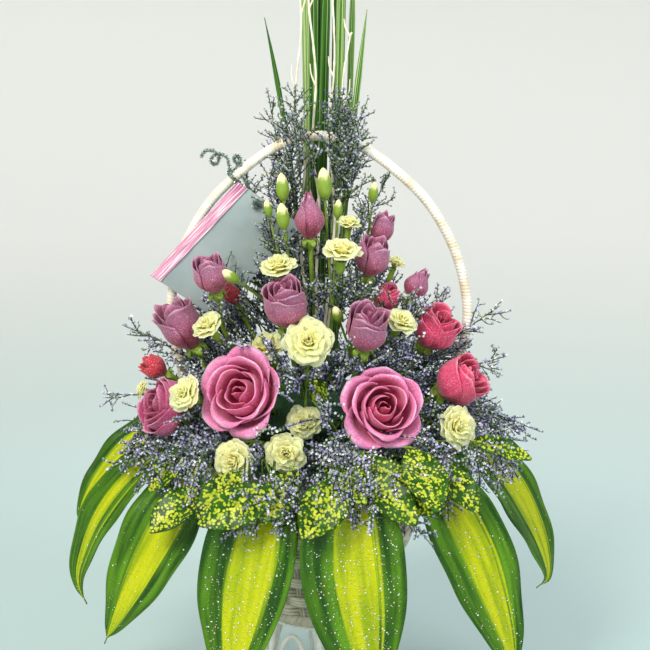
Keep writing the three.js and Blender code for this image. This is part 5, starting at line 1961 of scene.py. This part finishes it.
@dataclass(frozen=True)
class Keepout:
    """The room that a bloom keeps free of florets: itself and the space before its face."""

    middle: np.ndarray
    face: np.ndarray
    radius: float
    depth: float
    before: float = 70.0

    def hides(self, points: np.ndarray) -> bool:
        """Tests points against the bloom's room.

        Args:
            points: One point in each row.

        Returns:
            Whether any of them would stand in the bloom or before it.
        """
        away = points - self.middle
        axial = away @ self.face
        radial = np.linalg.norm(away - axial[:, None] * self.face, axis=1)
        return bool(np.any((axial > -self.depth) & (axial < self.before) & (radial < self.radius)))


def keepouts() -> list[Keepout]:
    """Finds the room to keep free of florets.

    Returns:
        The room of every rose, carnation and bud.
    """
    found = [Keepout(np.array(r.at, float), facing(r), r.radius * 0.98, r.length * 0.5) for r in ROSES]
    for head in CARNATIONS:
        middle = np.array(head.at, float)
        found.append(Keepout(middle, facing(head), head.radius * 0.95, head.radius * 0.5))
    for spray in SPRAYS:
        for x, y, z, length in spray.buds:
            middle = np.array([x, y, z + length / 2], float)
            found.append(Keepout(middle, np.array([0.0, -1.0, 0.0]), length * 0.42, 6.0))
    return found


@dataclass
class SeaLavender:
    """One panicle of sea lavender, with the mist of short sprigs round it."""

    name: str
    fork: Point
    tips: list[Point]
    seed: int
    mist: int = 40
    fringe: int = 0
    sector: tuple[float, float] = (0.0, TAU)
    heights: tuple[float, float] = (290.0, 470.0)

    floret: float = 1.75
    green: float = 0.3
    florets: list[tuple[np.ndarray, np.ndarray]] = field(default_factory=list)

    # The mass of florets reaches this far from the axis at each height, at the front and back.
    envelope_z = (280, 300, 330, 360, 400, 440, 480, 520, 560, 600, 640)
    envelope_front = (168, 176, 172, 160, 142, 120, 92, 64, 50, 44, 34)
    envelope_back = (150, 156, 150, 138, 120, 98, 74, 52, 36, 26, 14)

    def reach(self, turn: float, z: float) -> float:
        """Finds how far out the mist goes.

        Args:
            turn: The turn about the Z axis.
            z: The height.

        Returns:
            The reach from the Z axis.
        """
        front = np.interp(z, self.envelope_z, self.envelope_front)
        back = np.interp(z, self.envelope_z, self.envelope_back)
        share = 0.5 - 0.5 * math.sin(turn)
        wide = 1 + 0.12 * abs(math.cos(turn))
        return float(back + (front - back) * share) * wide

    def spike(self, skin: Skin, line: np.ndarray, radius: float, rng: np.random.Generator) -> None:
        """Adds a fine stem, and notes two rows of florets along its outer part.

        Args:
            skin: The piece that it goes into.
            line: The stem's points.
            radius: The stem's radius at its foot.
            rng: The seeded generator.
        """
        wire = np.array([0.0, 1.0, 0.0, rng.random()])
        skin.tube(line, np.linspace(radius, 0.42, len(line)), 4, wire)
        count = max(3, int(length_of(line) * 0.75 / 2.2))
        share = np.linspace(0.22, 1.0, count)
        spots = at_shares(line, share)
        ways = at_shares(unit(np.gradient(line, axis=0)), share)
        side = unit(np.cross(ways, np.array([0.2, 0.3, 1.0])) + rng.normal(0, 0.25, spots.shape))
        side = side * np.where(np.arange(count) % 2 == 0, 1, -1)[:, None]
        axes = unit(0.5 * ways + side + np.array([0, 0, 0.45]))
        self.florets.append((spots + axes * rng.uniform(0.5, 1.5, (count, 1)), axes))

    def sprig(
        self, skin: Skin, root: np.ndarray, tip: np.ndarray, rng: np.random.Generator,
        blooms: list[Keepout],
    ) -> None:
        """Adds a branching sprig between two points, unless it would hide a bloom.

        Args:
            skin: The piece that it goes into.
            root: Where it starts.
            tip: Where its longest stem ends.
            rng: The seeded generator.
            blooms: The room to keep free.
        """
        length = float(np.linalg.norm(tip - root))
        line = spline([root, (root + tip) / 2 + rng.normal(0, 0.07 * length, 3), tip], 14)
        if any(b.hides(line[4:]) for b in blooms):
            return
        self.spike(skin, line, 0.75, rng)
        along = unit(np.gradient(line, axis=0))
        helper = unit(rng.normal(0, 1, 3))
        count = int(length / 8.5)
        for k in range(count):
            share = 0.22 + 0.74 * k / max(1, count)
            i = int(share * (len(line) - 1))
            side = unit(np.cross(along[i], helper)) * (1 if k % 2 else -1)
            way = unit(0.75 * along[i] + 0.75 * side + rng.normal(0, 0.16, 3))
            size = min(30.0, (0.36 * (1 - share) + 0.1) * length + rng.uniform(3, 8))
            end = line[i] + way * size + np.array([0, 0, 0.08 * size])
            twig = spline([line[i], (line[i] + end) / 2 + rng.normal(0, 0.8, 3), end], 6)
            if not any(b.hides(twig) for b in blooms):
                self.spike(skin, twig, 0.45, rng)

    def branch(
        self, skin: Skin, root: np.ndarray, end: np.ndarray, rng: np.random.Generator,
        blooms: list[Keepout],
    ) -> None:
        """Adds one of the panicle's branches with its side sprigs.

        Args:
            skin: The piece that it goes into.
            root: Where it starts.
            end: Where it ends.
            rng: The seeded generator.
            blooms: The room to keep free.
        """
        line = spline([root, (root + end) / 2 + rng.normal(0, 5, 3), end], 24)
        self.spike(skin, line, 1.1, rng)
        along = unit(np.gradient(line, axis=0))
        steps = int(np.linalg.norm(end - root) / 11)
        for k in range(steps):
            i = int((0.2 + 0.75 * k / max(1, steps)) * 23)
            helper = unit(np.cross(along[i], rng.normal(0, 1, 3)))
            way = unit(0.8 * along[i] + 0.7 * helper)
            size = rng.uniform(24, 40) * (1.15 - 0.6 * i / 23)
            self.sprig(skin, line[i], line[i] + way * size, rng, blooms)

    def fill(self, skin: Skin, rng: np.random.Generator, blooms: list[Keepout]) -> None:
        """Adds the short sprigs that fill the room between the blooms.

        Args:
            skin: The piece that they go into.
            rng: The seeded generator.
            blooms: The room to keep free.
        """
        for _ in range(self.mist):
            turn = rng.uniform(*self.sector)
            z = rng.uniform(*self.heights)
            far = self.reach(turn, z) * rng.uniform(0.72, 1.0)
            tip = np.array([far * math.cos(turn), far * math.sin(turn), z])
            inward = unit(tip - np.array([0, 10.0, 262.0 + 0.35 * (z - 262)]))
            root = tip - inward * rng.uniform(52, 78)
            in_grass = z > 480 and abs(tip[0]) < 20 and tip[1] < 30
            if not in_grass:
                self.sprig(skin, root, tip, rng, blooms)

    def droop(self, skin: Skin, rng: np.random.Generator, blooms: list[Keepout]) -> None:
        """Adds the sprigs that arch over the rim and hang before the leaves.

        Args:
            skin: The piece that they go into.
            rng: The seeded generator.
            blooms: The room to keep free.
        """
        for _ in range(self.fringe):
            turn = rng.uniform(*self.sector)
            way = np.array([math.cos(turn), math.sin(turn)])
            tip = np.array([*(way * rng.uniform(180, 204)), rng.uniform(246, 292)])
            crest = np.array([*(way * rng.uniform(168, 178)), rng.uniform(302, 316)])
            root = np.array([*(way * 126), 318.0])
            if tip[1] > -206:
                self.sprig(skin, root, crest, rng, blooms)
                self.sprig(skin, crest, tip, rng, blooms)

    def bloom(self, skin: Skin, rng: np.random.Generator) -> None:
        """Adds the florets: small papery cups of five points.

        Args:
            skin: The piece that they go into.
            rng: The seeded generator.
        """
        places, axes = (np.vstack(rows) for rows in zip(*self.florets))
        count = len(places)
        reach = np.where(np.arange(10) % 2 == 0, 1.0, 0.5)
        rim = polar(reach, np.arange(10) * TAU / 10, np.where(reach > 0.9, 0.95, 0.75))
        shape = np.vstack([[0, 0, -0.6], rim])
        faces = np.array([[0, 1 + k, 1 + (k + 1) % 10] for k in range(10)])
        # Florets deep in the mass are painted darker than those at its surface, as painted shade.
        turns = np.arctan2(places[:, 1], places[:, 0])
        far = np.array([self.reach(turn, z) for turn, z in zip(turns, places[:, 2])])
        outer = np.clip((np.hypot(places[:, 0], places[:, 1]) / far - 0.5) / 0.4, 0.0, 1.0)
        pale = np.clip(rng.beta(1.3, 1.2, count) * (0.14 + 0.86 * outer), 0, 1)
        calyx = np.where(rng.random(count) < self.green, rng.uniform(0.5, 1.0, count), 0.0)
        sizes = self.floret * rng.uniform(0.65, 1.15, count)
        spins = rng.uniform(0, TAU, count)
        skin.scatter(shape, faces, places, axes, sizes, spins, tones_on(places, pale, 0, calyx))

    def build(self, blooms: list[Keepout]) -> bpy.types.Object:
        """Makes the panicle.

        Args:
            blooms: The room to keep free.

        Returns:
            The finished panicle.
        """
        rng = np.random.default_rng(self.seed)
        skin = Skin()
        fork = np.array(self.fork, float)
        skin.tube(trunk(fork), 1.7, 8, np.array([0, 1.0, 0, 0.5]))
        for tip in self.tips:
            self.branch(skin, fork, np.array(tip, float), rng, blooms)
        self.fill(skin, rng, blooms)
        self.droop(skin, rng, blooms)
        self.bloom(skin, rng)
        return settle(skin.build(f"{self.name}_mist", [LILAC]), self.name)


SEA_LAVENDER = [
    SeaLavender(
        "sea_lavender_left", (-92, -8, 340),
        [(-194, -8, 404), (-214, -30, 340), (-206, -66, 272), (-164, -98, 296), (-126, 14, 444)],
        11, 82, 22, (math.radians(165), math.radians(232)), (285, 440),
    ),
    SeaLavender(
        "sea_lavender_right", (92, 2, 346),
        [(178, -14, 425), (184, -30, 378), (220, -34, 302), (196, -80, 276), (120, 24, 440)],
        12, 82, 22, (math.radians(308), math.radians(375)), (285, 440),
    ),
    SeaLavender(
        "sea_lavender_top", (-26, 30, 372),
        [(-50, 8, 636), (-34, 4, 600), (-72, 6, 566), (48, 6, 628), (74, 16, 562)],
        13, 92, 0, (math.radians(180), math.radians(360)), (430, 645), green=0.6,
    ),
    SeaLavender(
        "sea_lavender_front", (22, -98, 332),
        [(-88, -178, 240), (-38, -186, 250), (34, -188, 256), (104, -176, 234), (-44, -160, 336),
         (104, -146, 326)],
        14, 150, 62, (math.radians(228), math.radians(312)), (282, 440),
    ),
    SeaLavender(
        "sea_lavender_back", (34, 108, 350),
        [(-110, 104, 400), (-30, 140, 430), (104, 108, 402), (64, 144, 344), (36, 100, 486)],
        15, 102, 34, (math.radians(12), math.radians(168)), (290, 520),
    ),
]


# ---- card -------------------------------------------------------------------------------------


@dataclass
class GiftCard:
    """Blank card with a satin ribbon along one edge, tied to the handle."""

    top: Point = (-79, -13, 548)
    left: Point = (-166, -13, 456)
    across: Point = (0.83, 0, -0.56)
    width: float = 76.0
    ribbon: float = 12.0
    thickness: float = 0.8
    hole_along: float = 8.0
    hole_inset: float = 17.0
    hole_radius: float = 3.6

    def axes(self) -> tuple[np.ndarray, np.ndarray, np.ndarray, float]:
        """The card's top corner, its two directions in the plane and its length."""
        top, left = np.array(self.top, float), np.array(self.left, float)
        length = float(np.linalg.norm(left - top))
        return top, (left - top) / length, unit(np.array(self.across, float)), length

    def hole(self) -> np.ndarray:
        """The middle of the punched hole."""
        top, along, across, _ = self.axes()
        return top + along * self.hole_along + across * (self.ribbon + self.hole_inset)

    def board(self) -> bpy.types.Object:
        """Makes the card with its punched hole.

        Returns:
            The finished card.
        """
        top, along, across, length = self.axes()
        turn = np.arange(32) * TAU / 32
        way = np.stack([np.cos(turn), np.sin(turn)], axis=-1)
        hole = np.array([self.hole_along, self.ribbon + self.hole_inset])
        inner = hole + self.hole_radius * way
        room = np.where(way > 0, np.array([length, self.width]) - hole, hole)
        outer = hole + way * np.min(room / np.maximum(np.abs(way), 1e-9), axis=1)[:, None]
        for corner in ([0, 0], [length, 0], [length, self.width], [0, self.width]):
            outer[int(np.argmin(np.linalg.norm(outer - corner, axis=1)))] = corner
        share = np.linspace(0, 1, 9)[:, None, None] ** 1.6
        flat = inner[None] * (1 - share) + outer[None] * share
        flat = np.concatenate([flat, flat[:, :1]], axis=1)
        bow = 0.6 * np.sin(math.pi * flat[..., :1] / length) * np.sin(math.pi * flat[..., 1:] / self.width)
        grid = top + flat[..., :1] * along + flat[..., 1:] * across + bow * np.array([0, 1.0, 0])
        skin = Skin()
        skin.sheet(grid, np.array([0.5, 0.5, 0, 0.5]), self.thickness)
        return settle(skin.build("blank_card_board", [CARD_STOCK], smooth=False), "card")

    def edge(self) -> bpy.types.Object:
        """Makes the satin ribbon, with soft lengthwise folds.

        Returns:
            The finished ribbon.
        """
        top, along, across, length = self.axes()
        t, u = np.meshgrid(np.linspace(0, 1, 80), np.linspace(0, 1, 15), indexing="ij")
        folds = 0.28 * np.sin(u * 8 + 3 * np.sin(t * 9)) + 0.2 * np.sin(u * 17 + t * 21)
        grid = top + (t * length)[..., None] * along + (u * self.ribbon)[..., None] * across
        grid[..., 1] -= self.thickness + 0.75 + folds
        skin = Skin()
        skin.sheet(grid, tones_on(grid, u, t), 0.35)
        return settle(skin.build("card_ribbon_edge", [SATIN]), "card_ribbon")

    def build(self) -> None:
        """Makes the card and its ribbon."""
        self.board()
        self.edge()


@dataclass
class TinselTie:
    """Tinsel wire: a ring round the handle, a knotted strand at the card and curled tails."""

    handle: WoundHandle
    card: GiftCard
    ring: float = 7.3
    core: float = 0.6
    hair: float = 3.0
    hairs_per_mm: int = 15
    seed: int = 21

    def strand(self, skin: Skin, line: np.ndarray, rng: np.random.Generator) -> None:
        """Adds a wire with slit foil standing out of it all along.

        Args:
            skin: The piece that it goes into.
            line: The wire's points.
            rng: The seeded generator.
        """
        skin.tube(line, self.core, 6, np.array([0.3, 0, 0, 0.5]))
        count = int(length_of(line) * self.hairs_per_mm)
        spots = at_shares(line, rng.random(count))
        shape = np.array([[-0.14, 0, 0], [0.14, 0, 0], [0.1, 0.05, 1.0], [-0.1, 0.05, 1.0]])
        tones = tones_on(spots, rng.random(count))
        sizes = self.hair * rng.uniform(0.6, 1.0, count)
        axes = rng.normal(0, 1, (count, 3))
        spins = rng.uniform(0, TAU, count)
        skin.scatter(shape, np.array([[0, 1, 2, 3]]), spots, axes, sizes, spins, tones)

    def build(self) -> bpy.types.Object:
        """Makes the tie.

        Returns:
            The finished tie.
        """
        rng = np.random.default_rng(self.seed)
        line = self.handle.line(400)
        hole = self.card.hole()
        i = int(np.argmin(np.linalg.norm(line - hole, axis=1)))
        near, along = line[i], unit(line[i + 1] - line[i])
        reach = unit(np.array([hole[0], 0, hole[2]]) - near)
        side = np.cross(reach, along)
        turn = np.linspace(0, TAU, 41)[:, None]
        ring = near + self.ring * (np.cos(turn) * reach + np.sin(turn) * side)
        skin = Skin()
        self.strand(skin, ring, rng)
        knot = hole + np.array([0, -3.2, 0])
        self.strand(skin, spline([ring[0], hole + [0, 6.0, 0], knot], 20), rng)
        t = np.linspace(0, 1, 50)[:, None]
        ball = np.hstack([2.6 * np.sin(t * 19), 0.9 * np.cos(t * 31), 2.6 * np.cos(t * 23)])
        self.strand(skin, knot + ball, rng)
        root = ring[20]
        # The curls: which side they go to, how long they are and how wide.
        for sign, steps, size in ((-1, 9, 6.0), (1, 5, 5.0)):
            k = np.linspace(0, steps, 14 * steps)[:, None]
            angle = TAU * k / 5
            x = sign * (4 + 1.8 * k) * np.minimum(1, k) + size * np.sin(angle)
            z = 4 * np.minimum(1, k) + size * (1 - np.cos(angle)) + 0.8 * k
            self.strand(skin, root + np.hstack([x, -2 * np.minimum(1, k) - 0.3 * k, z]), rng)
        tail = root + np.array([[0, 0, 0], [12, -3, -3], [19, -4, -14], [21, -4, -26], [27, -4, -31]])
        self.strand(skin, spline(tail, 40), rng)
        return settle(skin.build("tinsel_tie_strands", [TINSEL_FOIL]), "tinsel_tie")


# ---- studio -----------------------------------------------------------------------------------


@dataclass
class Studio:
    """Camera at the photograph's angle, soft lights, and a pale floor that turns up into a wall."""

    target: Point = (6, 0, 403)
    distance: float = 1500.0
    elevation: float = 12.0
    focal_pixels: float = 1500.0

    def camera(self) -> None:
        """Adds the camera: its focal length gives the photograph's scale at the basket."""
        data = bpy.data.cameras.new("camera")
        data.sensor_width = 36.0
        data.lens = data.sensor_width * self.focal_pixels / PHOTO_PIXELS
        data.clip_end = 50.0
        camera = bpy.data.objects.new("camera", data)
        rise = math.radians(self.elevation)
        back = Vector((0, -math.cos(rise), math.sin(rise)))
        camera.location = (Vector(self.target) + back * self.distance) * MM
        camera.rotation_euler = (-back).to_track_quat("-Z", "Y").to_euler()
        bpy.context.scene.collection.objects.link(camera)
        bpy.context.scene.camera = camera

    def light(
        self, name: str, place: Point, size: float, power: float, code: str, aim: Point | None = None
    ) -> None:
        """Adds a square soft light.

        Args:
            name: Its name.
            place: Where it stands, in metres.
            size: The length of its side, in metres.
            power: Its power in watts.
            code: Its colour.
            aim: The place that it looks at, or the arrangement without one.
        """
        data = bpy.data.lights.new(name, "AREA")
        data.size = size
        data.energy = power
        data.color = srgb(code)[:3]
        lamp = bpy.data.objects.new(name, data)
        lamp.location = Vector(place)
        seen = Vector(aim) if aim else Vector(self.target) * MM
        lamp.rotation_euler = (seen - lamp.location).to_track_quat("-Z", "Y").to_euler()
        bpy.context.scene.collection.objects.link(lamp)

    def sweep(self) -> None:
        """Adds the round floor that turns up into a wall on all sides."""
        bend = np.linspace(0, math.pi / 2, 49)[1:]
        reach = np.concatenate([np.linspace(0.02, 1.4, 20), 1.4 + 3.0 * np.sin(bend), np.full(4, 4.4)])
        rise = np.concatenate([np.zeros(20), 2.6 - 2.6 * np.cos(bend), np.linspace(2.8, 3.6, 4)])
        grid = polar(reach[:, None], np.linspace(0, TAU, 97), rise[:, None])
        skin = Skin()
        # The tone paints shade: darkest on the floor near the middle, lighter up the wall.
        skin.sheet(grid / MM, tones_on(grid, smoothstep(reach + 2 * rise, 0.1, 5.0)[:, None]))
        skin.build("studio_sweep", [STUDIO_PAINT])

    def build(self) -> None:
        """Sets up the camera, the lights, the sky and the sweep."""
        self.camera()
        self.light("key", (-1.2, -2.0, 2.5), 1.1, 88.0, "#fff9f0")
        self.light("fill", (1.5, -1.5, 1.9), 1.0, 30.0, "#f1f5ff")
        self.light("back", (0.5, 1.2, 2.4), 1.2, 24.0, "#ffffff")
        self.light("wall_wash", (0.0, 1.0, 3.0), 2.4, 17.0, "#ffffff", (0.0, 3.6, 0.6))
        world = bpy.data.worlds.new("soft_room")
        world.use_nodes = True
        sky = world.node_tree.nodes["Background"]
        sky.inputs["Color"].default_value = srgb("#e9eae8")
        sky.inputs["Strength"].default_value = 0.5
        bpy.context.scene.world = world
        bpy.context.scene.view_settings.view_transform = "Standard"
        self.sweep()


def main() -> None:
    """Builds every sub-assembly in order."""
    logging.basicConfig(level=logging.INFO, format="%(message)s")
    Studio().build()
    WireStand().build()
    WovenBasket().build()
    handle = WoundHandle()
    handle.build()
    dress_filling()
    for seed, rose in enumerate(ROSES):
        rose.build(100 + seed)
    for seed, carnation in enumerate(CARNATIONS):
        carnation.build(200 + seed)
    BloomStems().build()
    for seed, leaf in enumerate(DRACAENA):
        leaf.build(300 + seed)
    for seed, sprig in enumerate(GOLD_DUST):
        sprig.build(400 + seed)
    TallGrass().build()
    BleachedWillow().build()
    blooms = keepouts()
    for panicle in SEA_LAVENDER:
        panicle.build(blooms)
    card = GiftCard()
    card.build()
    TinselTie(handle, card).build()


if __name__ == "__main__":
    main()
